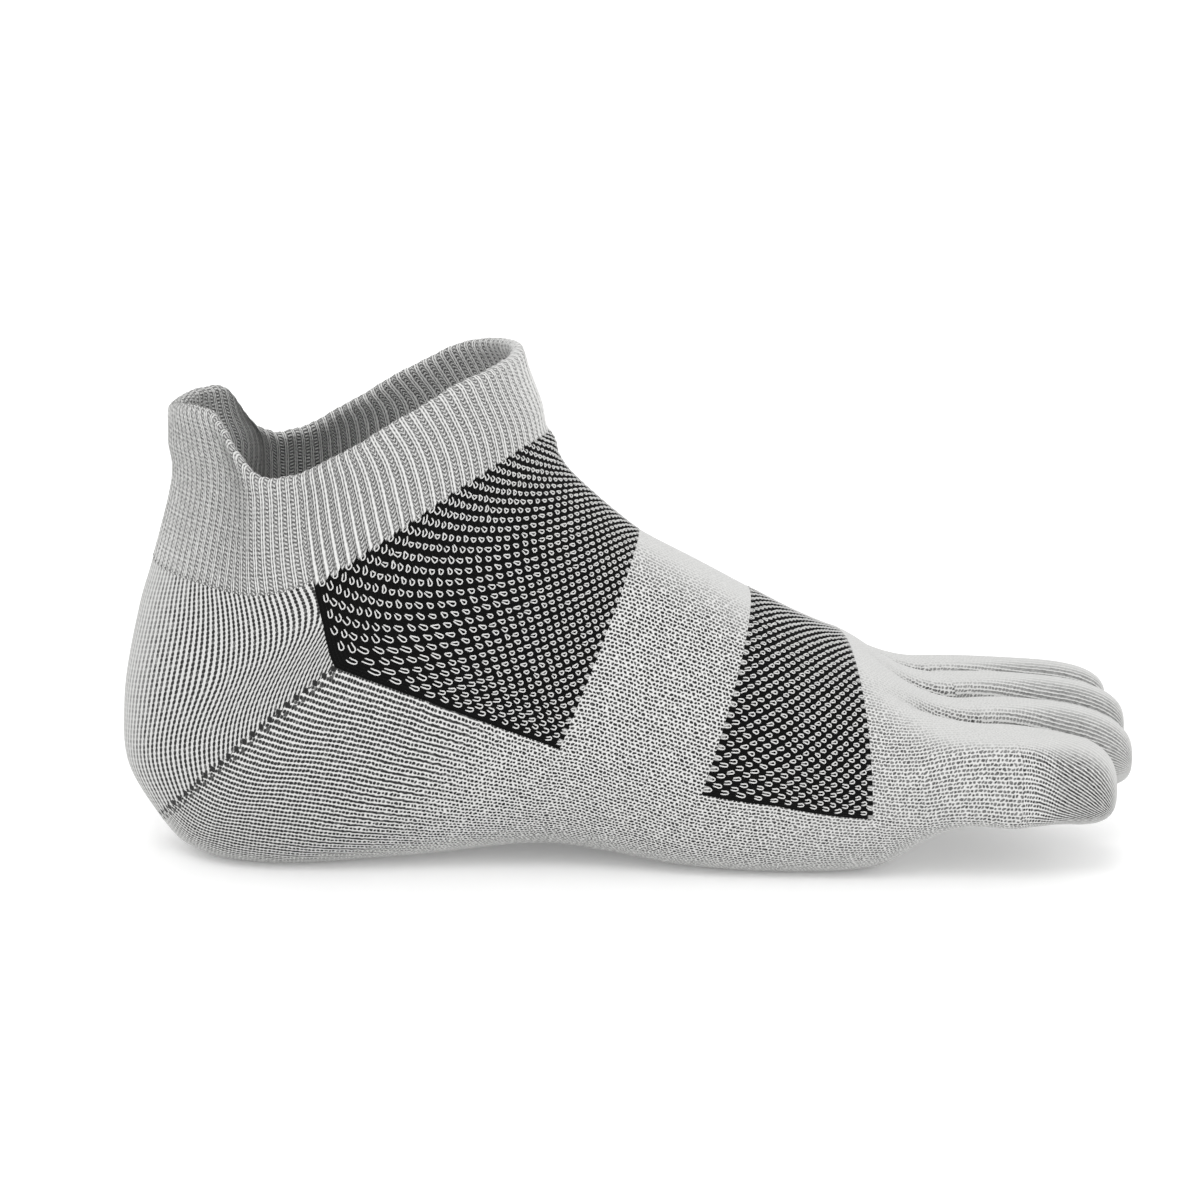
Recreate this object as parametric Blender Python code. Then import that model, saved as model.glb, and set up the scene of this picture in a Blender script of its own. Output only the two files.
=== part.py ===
"""Left toe sock in the shape that it has when worn: low ribbed cuff with a heel tab, heel pocket,
foot with two mesh panels over the instep, and five toe pockets.

The frame has +X towards the toes, +Y towards the little toe and +Z up. The origin is on the leg's axis,
in the middle of the cuff's opening. Every wall is hollow, with the thickness of the knit.
"""
import math
from collections import namedtuple

import bmesh
import bpy
import numpy as np

# Driving dimensions, in metres.
LENGTH = 0.253          # back of the heel to the tip of the longest toe
HEIGHT = 0.1264         # sole to the top of the cuff at the shin
BALL_WIDTH = 0.096      # across the ball of the foot
# The origin: the axis of the leg, as a share of LENGTH from the back of the heel, and the middle of the
# cuff's opening, as a share of HEIGHT above the sole.
LEG_AXIS = 0.2233
OPENING = 0.9335

KNIT_WALL = 0.0015      # plain knit of the foot, the heel and the toes
MESH_WALL = 0.0012      # two-colour mesh panels
CUFF_WALL = 0.0022      # double, turned-over rib
RIB_COUNT = 108         # ribs round the cuff
RIB_DEPTH = 0.0005      # height of a rib over the furrows beside it
GAP = 0.0003            # seam left between neighbouring pieces

# Sections of the foot from the cuff's rim to the toe webs. Each is a plane that leans in side view from
# its back point on the heel or sole to its front point on the shin or instep. x columns are shares of
# LENGTH from the heel, z columns shares of HEIGHT above the sole, and medial, lateral, ridge and keel
# shares of BALL_WIDTH. waist is how far up the section its widest place lies. crown and sole are the
# exponents of its upper and lower half, where 2 is an ellipse. sweep is the lean in plan view.
Section = namedtuple(
    "Section", "station front_x front_z back_x back_z medial lateral waist crown sole ridge keel sweep"
)
SECTIONS = [
    Section(-0.05, 0.391, 1.040, 0.056, 0.938, 0.335, 0.335, 0.57, 2.1, 1.60, 0.00, 0.00, 0.00),
    Section(0.00, 0.397, 1.000, 0.053, 0.892, 0.335, 0.335, 0.57, 2.1, 1.60, 0.00, 0.00, 0.00),
    Section(0.07, 0.407, 0.945, 0.050, 0.828, 0.335, 0.335, 0.57, 2.1, 1.60, 0.00, 0.00, 0.00),
    Section(0.14, 0.416, 0.894, 0.052, 0.742, 0.345, 0.345, 0.54, 2.1, 1.65, 0.00, 0.00, 0.00),
    Section(0.20, 0.421, 0.847, 0.030, 0.577, 0.365, 0.365, 0.50, 2.1, 1.80, 0.00, 0.00, 0.00),
    Section(0.23, 0.428, 0.828, 0.017, 0.490, 0.370, 0.370, 0.48, 2.0, 1.90, 0.00, 0.00, 0.00),
    Section(0.27, 0.432, 0.797, 0.000, 0.296, 0.365, 0.365, 0.46, 2.0, 2.1, 0.00, 0.00, 0.00),
    Section(0.295, 0.436, 0.782, 0.003, 0.175, 0.363, 0.363, 0.45, 2.0, 2.2, 0.00, 0.00, 0.00),
    Section(0.32, 0.441, 0.767, 0.036, 0.060, 0.360, 0.360, 0.44, 2.0, 2.3, 0.00, 0.00, 0.00),
    Section(0.36, 0.455, 0.738, 0.075, 0.002, 0.355, 0.358, 0.43, 2.0, 2.6, 0.00, 0.00, 0.00),
    Section(0.40, 0.469, 0.712, 0.130, -0.018, 0.350, 0.355, 0.42, 2.0, 2.8, 0.00, 0.00, 0.00),
    Section(0.47, 0.492, 0.673, 0.265, -0.006, 0.345, 0.370, 0.40, 2.0, 2.8, -0.01, 0.01, 0.00),
    Section(0.54, 0.515, 0.640, 0.395, 0.020, 0.345, 0.400, 0.38, 1.9, 2.7, -0.02, 0.02, 0.00),
    Section(0.62, 0.571, 0.581, 0.472, 0.008, 0.360, 0.430, 0.37, 1.9, 2.8, -0.03, 0.03, -0.02),
    Section(0.70, 0.628, 0.519, 0.545, -0.014, 0.385, 0.470, 0.37, 1.9, 3.2, -0.04, 0.04, -0.05),
    Section(0.78, 0.675, 0.468, 0.640, -0.025, 0.400, 0.520, 0.38, 1.9, 3.4, -0.04, 0.05, -0.08),
    Section(0.86, 0.722, 0.425, 0.735, -0.012, 0.415, 0.540, 0.42, 2.0, 3.2, -0.03, 0.05, -0.12),
    Section(0.93, 0.774, 0.394, 0.793, 0.036, 0.420, 0.530, 0.47, 2.1, 2.9, 0.00, 0.05, -0.21),
    Section(1.00, 0.832, 0.370, 0.832, 0.095, 0.420, 0.520, 0.50, 2.2, 2.6, 0.03, 0.05, -0.30),
]

# Stations where the knit changes.
CUFF_END = 0.20         # the rib ends here at the shin and at the back
GORE = 0.305            # diagonal line where the heel pocket turns into the sole
INSTEP_MESH_END = 0.531
FOREFOOT_MESH_START = 0.687
FOREFOOT_MESH_END = 0.848
WEBS = 1.00

# Lines that run round the foot. turn is the share of the way from the shin round to the heel or sole.
# rim, seam and gore say how far, in stations, the cuff's two edges and the gore line lie below their
# own sections. The rim climbs steeply at the back, to the heel tab.
Edge = namedtuple("Edge", "turn rim seam gore")
EDGES = [
    Edge(0.00, -0.004, 0.000, 0.000),
    Edge(0.13, 0.001, -0.014, 0.000),
    Edge(0.26, 0.014, 0.000, 0.000),
    Edge(0.40, 0.064, 0.028, 0.000),
    Edge(0.55, 0.121, 0.041, 0.000),
    Edge(0.66, 0.140, 0.034, 0.002),
    Edge(0.72, 0.132, 0.025, 0.004),
    Edge(0.76, 0.108, 0.018, 0.005),
    Edge(0.79, 0.060, 0.013, 0.006),
    Edge(0.82, 0.018, 0.009, 0.007),
    Edge(0.88, 0.000, 0.002, 0.009),
    Edge(1.00, 0.002, -0.006, 0.013),
]

# Where the mesh panels end at the side of the foot, as turns.
MeshSide = namedtuple("MeshSide", "station turn")
MESH_SIDES = [
    MeshSide(0.20, 0.540),
    MeshSide(0.24, 0.540),
    MeshSide(0.265, 0.518),
    MeshSide(0.305, 0.510),
    MeshSide(0.370, 0.467),
    MeshSide(0.458, 0.500),
    MeshSide(0.531, 0.540),
    MeshSide(0.687, 0.548),
    MeshSide(0.848, 0.558),
    MeshSide(1.00, 0.560),
]

# Toes from big to little. tip_x is a share of LENGTH; top, bottom and their tip columns are shares of
# HEIGHT; web and tip_web are the side nearer to the little toe at the root and at the tip's line, as
# shares of BALL_WIDTH. blunt is the exponent of the tip's outline seen from above.
Toe = namedtuple(
    "Toe", "name tip_x root_top root_bottom knuckle_top knuckle_bottom tip_top tip_bottom web tip_web blunt"
)
FIRST_WEB = -0.418      # outer side of the big toe at its root
FIRST_TIP_WEB = -0.385  # the same at the tips' line
TOES = [
    Toe("big_toe", 0.976, 0.294, 0.112, 0.285, 0.110, 0.262, 0.090, -0.145, -0.135, 3.0),
    Toe("second_toe", 1.000, 0.303, 0.122, 0.303, 0.128, 0.268, 0.112, 0.035, 0.020, 3.2),
    Toe("third_toe", 0.998, 0.320, 0.132, 0.323, 0.145, 0.300, 0.135, 0.205, 0.165, 3.3),
    Toe("fourth_toe", 0.985, 0.320, 0.138, 0.325, 0.155, 0.318, 0.150, 0.365, 0.300, 3.4),
    Toe("little_toe", 0.890, 0.285, 0.122, 0.280, 0.132, 0.255, 0.130, 0.515, 0.440, 3.0),
]
ROOT_SQUARENESS = 4.0   # exponent of a toe's section where it leaves the foot
TIP_SQUARENESS = 2.1    # and where it has become round
ROUND_FROM = 0.60       # share of a toe's length where its section has become round
TAPER_FROM = 0.42       # share of a toe's length where its tip starts to close
VALLEY_SHARE = 0.45     # how high the valleys between the toes start, as a share of a toe's half height

# Rows and columns of the faces.
PROFILE_SAMPLES = 121   # points along a half section before it is spaced evenly
WEB_SAMPLES = 60        # points along the top of the toes' line, from its middle to the outer toe
CORNER_SAMPLES = 24     # points round a quarter of the outer toe
CUFF_ROWS = 3
HEEL_ROWS = 5
INSTEP_ROWS = 6
BAND_ROWS = 4
FOREFOOT_ROWS = 4
WEB_ROWS = 5
TOP_COLUMNS = 11        # from the shin line to the mesh panels' side edge
SOLE_COLUMNS = 9        # from there to the middle of the sole
TOE_COLUMNS = 14
TOE_ROWS = 3
TIP_ROWS = 6
STEP = 0.004            # step in station or turn over which the surface's slope is measured
SHARP_ANGLE = math.radians(50)  # edges that turn by more are drawn sharp
WELD = 1e-6             # points of a shell nearer than this are one point


def column(rows, name):
    """One named column of a table as an array."""
    return np.array([getattr(row, name) for row in rows])


def smooth(rows, key, name, at):
    """A table's column read as a smooth curve over its key column."""
    keys, values = column(rows, key), column(rows, name)
    slopes = np.gradient(values, keys)
    at = np.clip(at, keys[0], keys[-1])
    low = np.clip(np.searchsorted(keys, at, side="right") - 1, 0, len(keys) - 2)
    span = keys[low + 1] - keys[low]
    u = (at - keys[low]) / span
    return (
        (2 * u**3 - 3 * u**2 + 1) * values[low]
        + (u**3 - 2 * u**2 + u) * span * slopes[low]
        + (3 * u**2 - 2 * u**3) * values[low + 1]
        + (u**3 - u**2) * span * slopes[low + 1]
    )


def ease(u):
    """0 to 1 with a soft start and end."""
    u = np.clip(u, 0.0, 1.0)
    return u * u * (3 - 2 * u)


def superellipse(share, exponent):
    """Height of a unit superellipse at a share of its half width."""
    return (1 - np.clip(np.abs(share), 0, 1) ** exponent) ** (1 / exponent)


def origin():
    """Place of the origin, measured from the back of the heel and the sole."""
    return np.array([LEG_AXIS * LENGTH, 0.0, OPENING * HEIGHT])


def root_x(y):
    """Distance from the heel of the slanted line where the toes leave the foot."""
    return SECTIONS[-1].front_x * LENGTH + SECTIONS[-1].sweep * y


def toe_cells():
    """Each toe's middle, half width, middle height and half height at its root."""
    sides = [FIRST_WEB] + [toe.web for toe in TOES]
    cells = []
    for toe, inner, outer in zip(TOES, sides, sides[1:]):
        middle, half = (inner + outer) / 2 * BALL_WIDTH, (outer - inner) / 2 * BALL_WIDTH
        height, rise = (toe.root_top + toe.root_bottom) / 2, (toe.root_top - toe.root_bottom) / 2
        cells.append((middle, half, height * HEIGHT, rise * HEIGHT))
    return cells


def webs_outline(side):
    """The foot's outline where the toes start, from the top middle round one side to the bottom."""
    cells = toe_cells()
    y0, half0, z0, rise0 = cells[0 if side < 0 else -1]
    quarter = np.linspace(0, math.pi / 2, CORNER_SAMPLES)
    round_y = y0 + side * half0 * np.sin(quarter) ** (2 / ROOT_SQUARENESS)
    round_z = rise0 * np.cos(quarter) ** (2 / ROOT_SQUARENESS)
    start = (SECTIONS[-1].ridge + SECTIONS[-1].keel) / 2 * BALL_WIDTH
    across = np.linspace(start, y0, WEB_SAMPLES)[:-1]
    lift, middle = np.zeros(len(across)), np.zeros(len(across))
    for y, half, z, rise in cells:
        inside = np.abs(across - y) <= half + WELD
        share = superellipse((across - y) / half, ROOT_SQUARENESS)
        lift = np.where(inside, rise * np.maximum(share, VALLEY_SHARE), lift)
        middle = np.where(inside, z, middle)
    y = np.append(across, round_y)
    top = np.column_stack([y, np.append(middle + lift, z0 + round_z)])
    bottom = np.column_stack([y, np.append(middle - lift, z0 - round_z)])
    return np.vstack([top, bottom[::-1][1:]])


def spaced(points, turns):
    """Points at the given shares of a polyline's length."""
    steps = np.linalg.norm(np.diff(points, axis=0), axis=1)
    length = np.concatenate([[0], np.cumsum(steps)])
    return np.column_stack([np.interp(turns, length / length[-1], line) for line in points.T])


def half_sections(stations, side):
    """Points along the half section of each station, front to back, before the sole is flattened."""
    value = {name: smooth(SECTIONS, "station", name, stations)[:, None] for name in Section._fields[1:]}
    angle = np.linspace(0, math.pi, PROFILE_SAMPLES)[None, :]
    upper = angle <= math.pi / 2
    exponent = np.where(upper, value["crown"], value["sole"])
    reach = np.sin(angle).clip(0) ** (2 / exponent) * value["medial" if side < 0 else "lateral"]
    rise = np.abs(np.cos(angle)) ** (2 / exponent)
    up = np.where(upper, value["waist"] + (1 - value["waist"]) * rise, value["waist"] * (1 - rise))
    y = (value["keel"] + (value["ridge"] - value["keel"]) * up + side * reach) * BALL_WIDTH
    x = (value["back_x"] + (value["front_x"] - value["back_x"]) * up) * LENGTH
    z = (value["back_z"] + (value["front_z"] - value["back_z"]) * up) * HEIGHT
    return np.stack([x, y, z], axis=2)


def half_surface(stations, turns, side):
    """Outer surface on one side, at as many stations as turns."""
    lines = half_sections(stations, side)
    steps = np.linalg.norm(np.diff(lines, axis=1), axis=2)
    length = np.cumsum(steps, axis=1) / steps.sum(axis=1, keepdims=True)
    low = np.minimum((length <= turns[:, None]).sum(axis=1), PROFILE_SAMPLES - 2)
    row = np.arange(len(turns))
    before = np.where(low > 0, length[row, low - 1], 0.0)
    share = ((turns - before) / (length[row, low] - before))[:, None]
    points = lines[row, low] * (1 - share) + lines[row, low + 1] * share
    fade = ease((stations - FOREFOOT_MESH_END) / (WEBS - FOREFOOT_MESH_END))[:, None]
    points[:, 1:] += (spaced(webs_outline(side), turns) - points[:, 1:]) * fade
    points[:, 0] += smooth(SECTIONS, "station", "sweep", stations) * points[:, 1]
    points[:, 2] = np.maximum(points[:, 2], 0.0)
    return points - origin()


def surface(stations, turns):
    """Outer surface for arrays of stations and signed turns. A negative turn is on the medial side."""
    points = np.zeros(turns.shape + (3,))
    for side in (-1, 1):
        pick = (turns < 0) == (side < 0)
        points[pick] = half_surface(stations[pick], np.abs(turns[pick]), side)
    return points


def carried_round(turns):
    """A signed turn past the middle of the sole, carried on round to the other side."""
    turns = np.where(turns > 1, turns - 2, turns)
    return np.where(turns < -1, turns + 2, turns)


def unit(vectors):
    return vectors / np.linalg.norm(vectors, axis=-1, keepdims=True)


def surface_normals(stations, turns):
    """Outward normals of the surface, from its slopes along a station and round a turn."""
    later, sooner = np.minimum(stations + STEP, WEBS), np.maximum(stations - STEP, SECTIONS[0].station)
    along = surface(later, turns) - surface(sooner, turns)
    around = surface(stations, carried_round(turns + STEP)) - surface(stations, carried_round(turns - STEP))
    return unit(np.cross(along, around))


def in_web_plane(directions):
    """Directions without their part across the slanted plane where the toes leave the foot."""
    across = unit(np.array([1.0, -SECTIONS[-1].sweep, 0.0]))
    return unit(directions - (directions @ across)[..., None] * across)


def edge_dip(name, turns):
    """How far, in stations, the rim, the seam or the gore line dips at a turn."""
    return smooth(EDGES, "turn", name, np.abs(turns))


def column_turns(stations, shares):
    """Signed turns of columns. A share of 1 is the mesh panels' side edge and 2 the middle of the sole."""
    edge = np.interp(stations, column(MESH_SIDES, "station"), column(MESH_SIDES, "turn"))
    size = np.abs(shares)
    return np.sign(shares) * np.where(size <= 1, size * edge, edge + (size - 1) * (1 - edge))


def trimmed(points, kept, wraps):
    """The grid with each edge of the kept cells moved in by half the gap."""
    rows, columns = kept.shape
    cells = np.zeros((rows + 2, columns + 2), bool)
    cells[1:-1, 1:-1] = kept
    if wraps:
        cells[:, 0], cells[:, -1] = cells[:, -2], cells[:, 1]
    a, b, c, d = cells[:-1, :-1], cells[:-1, 1:], cells[1:, :-1], cells[1:, 1:]
    later = ((~a & c) | (~b & d)).astype(float) - ((~c & a) | (~d & b))
    further = ((~a & b) | (~c & d)).astype(float) - ((~b & a) | (~d & c))
    moved = points.copy()
    for axis, push in ((0, later), (1, further)):
        step = np.gradient(points, axis=axis)
        if axis == 1 and wraps:
            step[:, 0] = step[:, -1] = points[:, 1] - points[:, -2]
        size = np.linalg.norm(step, axis=2, keepdims=True)
        moved += step / np.where(size > 0, size, 1) * push[:, :, None] * GAP / 2
    return moved


def shell(name, outer, inner, kept, wraps, poled, material):
    """A wall of quads between an outer and an inner grid, closed along every edge of the kept cells."""
    rows, columns = kept.shape
    bm = bmesh.new()
    skins = [[[bm.verts.new(point) for point in row] for row in grid] for grid in (outer, inner)]
    # For each neighbour of a cell, the step to it and the two corners of the edge that they share.
    beside = (
        (0, -1, (0, 0), (1, 0)),
        (0, 1, (1, 1), (0, 1)),
        (-1, 0, (0, 1), (0, 0)),
        (1, 0, (1, 0), (1, 1)),
    )
    for i in range(rows):
        for j in range(columns):
            if not kept[i, j]:
                continue
            corners = [(i, j), (i + 1, j), (i + 1, j + 1), (i, j + 1)]
            bm.faces.new([skins[0][r][c] for r, c in corners])
            bm.faces.new([skins[1][r][c] for r, c in reversed(corners)])
            for down, right, start, end in beside:
                r, c = i + down, (j + right) % columns if wraps else j + right
                inside = 0 <= r < rows and 0 <= c < columns
                if (inside and kept[r, c]) or (poled and r == rows):
                    continue
                p, q = (i + start[0], j + start[1]), (i + end[0], j + end[1])
                ring = [(0, q), (0, p), (1, p), (1, q)]
                bm.faces.new([skins[skin][r][c] for skin, (r, c) in ring])
    bmesh.ops.remove_doubles(bm, verts=bm.verts, dist=WELD)
    bmesh.ops.delete(bm, geom=[vert for vert in bm.verts if not vert.link_faces], context="VERTS")
    mesh = bpy.data.meshes.new(name)
    bm.to_mesh(mesh)
    bm.free()
    mesh.shade_smooth()
    mesh.set_sharp_from_angle(angle=SHARP_ANGLE)
    mesh.materials.append(material)
    bpy.data.collections["toe_sock"].objects.link(bpy.data.objects.new(name, mesh))


def patch(name, stations, shares, wall, material, kept=None, wraps=False):
    """A shell over the part of the sock that a grid of stations and column shares covers."""
    turns = column_turns(stations, shares)
    if kept is None:
        kept = np.ones((stations.shape[0] - 1, stations.shape[1] - 1), bool)
    outer = trimmed(surface(stations, turns), kept, wraps)
    normals = surface_normals(stations, turns)
    at_webs = stations == WEBS
    normals[at_webs] = in_web_plane(normals[at_webs])
    shell(name, outer, outer - normals * wall, kept, wraps, False, material)


def knit(name, colour, roughness):
    """A plain knitted yarn."""
    material = bpy.data.materials.new(name)
    material.use_nodes = True
    shader = material.node_tree.nodes["Principled BSDF"]
    shader.inputs["Base Color"].default_value = (*colour, 1)
    shader.inputs["Roughness"].default_value = roughness
    shader.inputs["Metallic"].default_value = 0.0
    return material


PANEL_SHARES = np.linspace(-1, 1, 2 * TOP_COLUMNS + 1)
SIDE_SHARES = np.linspace(1, 2, SOLE_COLUMNS + 1)
# From the mesh panels' side edge on the lateral side, round the back or sole, to the one on the medial side.
UNDER_SHARES = np.concatenate([SIDE_SHARES, -SIDE_SHARES[::-1][1:]])
# All the way round, from the middle of the sole over the medial side and the top.
ROUND_SHARES = np.concatenate([-SIDE_SHARES[::-1], PANEL_SHARES[1:-1], SIDE_SHARES])


def between(start, end, count):
    """Rows of stations that run evenly from one line round the foot to another."""
    return start + (end - start) * np.linspace(0, 1, count + 1)[:, None]


def seam_line(shares):
    return CUFF_END + edge_dip("seam", column_turns(np.full(shares.shape, CUFF_END), shares))


def gore_line(shares):
    return GORE + edge_dip("gore", column_turns(np.full(shares.shape, GORE), shares))


def build_cuff(material):
    """Ribbed tube from the rim, which rises to a tab at the back, down to the seam."""
    turns = np.linspace(-1, 1, 2 * RIB_COUNT + 1)
    rim = edge_dip("rim", turns)
    seam = CUFF_END + edge_dip("seam", turns)
    stations = between(rim, seam, CUFF_ROWS)
    turns = np.tile(turns, (len(stations), 1))
    kept = np.ones((CUFF_ROWS, 2 * RIB_COUNT), bool)
    middle = trimmed(surface(stations, turns), kept, True)
    normals = surface_normals(stations, turns)
    rib = np.where(np.arange(2 * RIB_COUNT + 1) % 2 == 0, 0.0, -RIB_DEPTH)[None, :, None]
    shell("cuff", middle + normals * rib, middle - normals * CUFF_WALL, kept, True, False, material)


def build_heel(material):
    """Heel pocket from the cuff's seam to the diagonal gore line."""
    stations = between(seam_line(UNDER_SHARES), gore_line(UNDER_SHARES), HEEL_ROWS)
    shares = np.tile(UNDER_SHARES, (len(stations), 1))
    patch("heel_pocket", stations, shares, KNIT_WALL, material)


def build_instep_mesh(material):
    """Mesh panel over the instep, from the cuff's seam to the solid band."""
    gore = gore_line(PANEL_SHARES)
    above = between(seam_line(PANEL_SHARES), gore, HEEL_ROWS)
    below = between(gore, np.full(gore.shape, INSTEP_MESH_END), INSTEP_ROWS)
    stations = np.vstack([above, below[1:]])
    shares = np.tile(PANEL_SHARES, (len(stations), 1))
    patch("instep_mesh", stations, shares, MESH_WALL, material)


def build_forefoot_mesh(material):
    """Mesh panel over the forefoot, between the solid band and the toes."""
    ends = np.full((2, len(PANEL_SHARES)), [[FOREFOOT_MESH_START], [FOREFOOT_MESH_END]])
    stations = between(ends[0], ends[1], FOREFOOT_ROWS)
    shares = np.tile(PANEL_SHARES, (len(stations), 1))
    patch("forefoot_mesh", stations, shares, MESH_WALL, material)


def build_foot(material):
    """Sole, sides, band between the panels and forefoot up to the toes, as one tube with two windows."""
    counts = (INSTEP_ROWS, BAND_ROWS, FOREFOOT_ROWS, WEB_ROWS)
    gore = gore_line(ROUND_SHARES)
    ends = (INSTEP_MESH_END, FOREFOOT_MESH_START, FOREFOOT_MESH_END, WEBS)
    lines = [gore] + [np.full(gore.shape, end) for end in ends]
    spans = [between(start, end, count)[1:] for start, end, count in zip(lines, lines[1:], counts)]
    stations = np.vstack([gore[None, :]] + spans)
    shares = np.tile(ROUND_SHARES, (len(stations), 1))
    kept = np.ones((len(stations) - 1, len(ROUND_SHARES) - 1), bool)
    over = slice(SOLE_COLUMNS, SOLE_COLUMNS + 2 * TOP_COLUMNS)
    kept[:INSTEP_ROWS, over] = False
    forefoot = INSTEP_ROWS + BAND_ROWS
    kept[forefoot : forefoot + FOREFOOT_ROWS, over] = False
    patch("foot_body", stations, shares, KNIT_WALL, material, kept, True)


def between_tips(root, tip, x):
    """Sideways place at x of a straight line from a root on the web line to the tips' line."""
    root, tip = root * BALL_WIDTH, tip * BALL_WIDTH
    start = root_x(root)
    return root + (tip - root) * (x - start) / (LENGTH - start)


def toe_surface(index, along, around):
    """Outer surface of a toe pocket for shares along its length and angles round it from the top."""
    toe = TOES[index]
    roots = [FIRST_WEB] + [other.web for other in TOES]
    tips = [FIRST_TIP_WEB] + [other.tip_web for other in TOES]
    middle = (roots[index] + roots[index + 1]) / 2 * BALL_WIDTH
    start = root_x(middle) + GAP / 2
    taper = np.clip((along - TAPER_FROM) / (1 - TAPER_FROM), 0, 1)
    closing = superellipse(taper, toe.blunt)
    power = ROOT_SQUARENESS + (TIP_SQUARENESS - ROOT_SQUARENESS) * ease(along / ROUND_FROM)
    aside = np.sign(np.sin(around)) * np.abs(np.sin(around)) ** (2 / power) * closing
    lift = np.sign(np.cos(around)) * np.abs(np.cos(around)) ** (2 / power) * closing
    x = start + (toe.tip_x * LENGTH - start) * along
    inner = between_tips(roots[index], tips[index], x) + GAP / 2
    outer = between_tips(roots[index + 1], tips[index + 1], x) - GAP / 2
    x = x + SECTIONS[-1].sweep * (1 - along) ** 2 * aside * (outer - inner) / 2
    inner = between_tips(roots[index], tips[index], x) + GAP / 2
    outer = between_tips(roots[index + 1], tips[index + 1], x) - GAP / 2
    y = (inner + outer) / 2 + (outer - inner) / 2 * aside
    # A curve through the heights at the root, the knuckle half way and the tip.
    weights = ((1 - along) * (1 - 2 * along), 4 * along * (1 - along), along * (2 * along - 1))
    tops = (toe.root_top, toe.knuckle_top, toe.tip_top)
    bottoms = (toe.root_bottom, toe.knuckle_bottom, toe.tip_bottom)
    top = sum(weight * height for weight, height in zip(weights, tops))
    bottom = sum(weight * height for weight, height in zip(weights, bottoms))
    z = ((top + bottom) / 2 + (top - bottom) / 2 * lift) * HEIGHT
    return np.stack([x, y, z], axis=-1) - origin()


def build_toe(index, material):
    """Toe pocket, open where it leaves the foot and rounded at its tip."""
    straight = np.linspace(0, TAPER_FROM, TOE_ROWS + 1)[:-1]
    tip = TAPER_FROM + (1 - TAPER_FROM) * np.sin(np.linspace(0, math.pi / 2, TIP_ROWS + 1))
    rows = np.concatenate([straight, tip])
    along, around = np.meshgrid(rows, np.linspace(0, 2 * math.pi, TOE_COLUMNS + 1), indexing="ij")
    outer = toe_surface(index, along, around)
    ahead = toe_surface(index, np.minimum(along + STEP, 1), around)
    behind = toe_surface(index, np.maximum(along - STEP, 0), around)
    across = toe_surface(index, along, around + STEP) - toe_surface(index, along, around - STEP)
    normals = np.cross(ahead - behind, across)
    normals[-1] = outer[-1, 0] - outer[-2].mean(axis=0)
    normals[0] = in_web_plane(normals[0])
    kept = np.ones((len(rows) - 1, TOE_COLUMNS), bool)
    shell(TOES[index].name, outer, outer - unit(normals) * KNIT_WALL, kept, True, True, material)


def main():
    for old in list(bpy.data.objects):
        bpy.data.objects.remove(old, do_unlink=True)
    collection = bpy.data.collections.new("toe_sock")
    bpy.context.scene.collection.children.link(collection)
    build_cuff(knit("ribbed_cuff", (0.55, 0.55, 0.54), 0.85))
    build_heel(knit("heel_knit", (0.56, 0.56, 0.55), 0.85))
    build_foot(knit("foot_knit", (0.58, 0.58, 0.57), 0.85))
    mesh = knit("two_colour_mesh", (0.16, 0.16, 0.16), 0.9)
    build_instep_mesh(mesh)
    build_forefoot_mesh(mesh)
    toe_material = knit("toe_knit", (0.60, 0.60, 0.59), 0.85)
    for index in range(len(TOES)):
        build_toe(index, toe_material)


main()
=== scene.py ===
"""Toe sock, worn shape: the knitted looks of the sock, laid over its solid model.

The frame has +X towards the toes, +Y towards the little toe and +Z up, in metres. Every knitted surface
follows the same skin: a function of station, which runs from the cuff's rim to the toe webs, and turn,
which runs from the shin line round to the heel or the middle of the sole, negative on the big toe's side.
"""
import math
from collections import namedtuple
from functools import partialmethod

import bpy
import numpy as np
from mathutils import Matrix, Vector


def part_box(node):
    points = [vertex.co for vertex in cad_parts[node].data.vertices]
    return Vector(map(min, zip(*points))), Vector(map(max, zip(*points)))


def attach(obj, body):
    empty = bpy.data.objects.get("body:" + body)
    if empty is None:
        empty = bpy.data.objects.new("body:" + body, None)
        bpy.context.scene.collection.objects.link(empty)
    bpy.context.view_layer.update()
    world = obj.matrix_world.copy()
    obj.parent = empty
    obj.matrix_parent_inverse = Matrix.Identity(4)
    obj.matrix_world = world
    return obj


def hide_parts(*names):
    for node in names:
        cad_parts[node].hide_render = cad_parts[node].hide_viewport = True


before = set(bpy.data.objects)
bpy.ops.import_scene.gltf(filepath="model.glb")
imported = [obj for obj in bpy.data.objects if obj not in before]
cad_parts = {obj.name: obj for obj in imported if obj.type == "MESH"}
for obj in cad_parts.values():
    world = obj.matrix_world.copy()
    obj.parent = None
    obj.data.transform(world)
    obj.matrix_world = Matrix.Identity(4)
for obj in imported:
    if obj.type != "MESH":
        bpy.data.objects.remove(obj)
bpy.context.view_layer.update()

bl_info = {
    "name": "Toe Sock",
    "version": (1, 0, 0),
    "blender": (4, 5, 0),
    "location": "3D View > Sidebar > Toe Sock",
    "description": "Builds a knitted toe sock in its worn shape",
    "category": "Object",
}

LENGTH = 0.253
HEIGHT = 0.1264
BALL_WIDTH = 0.096
ORIGIN = np.array([0.2233 * LENGTH, 0.0, 0.9335 * HEIGHT])

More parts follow.
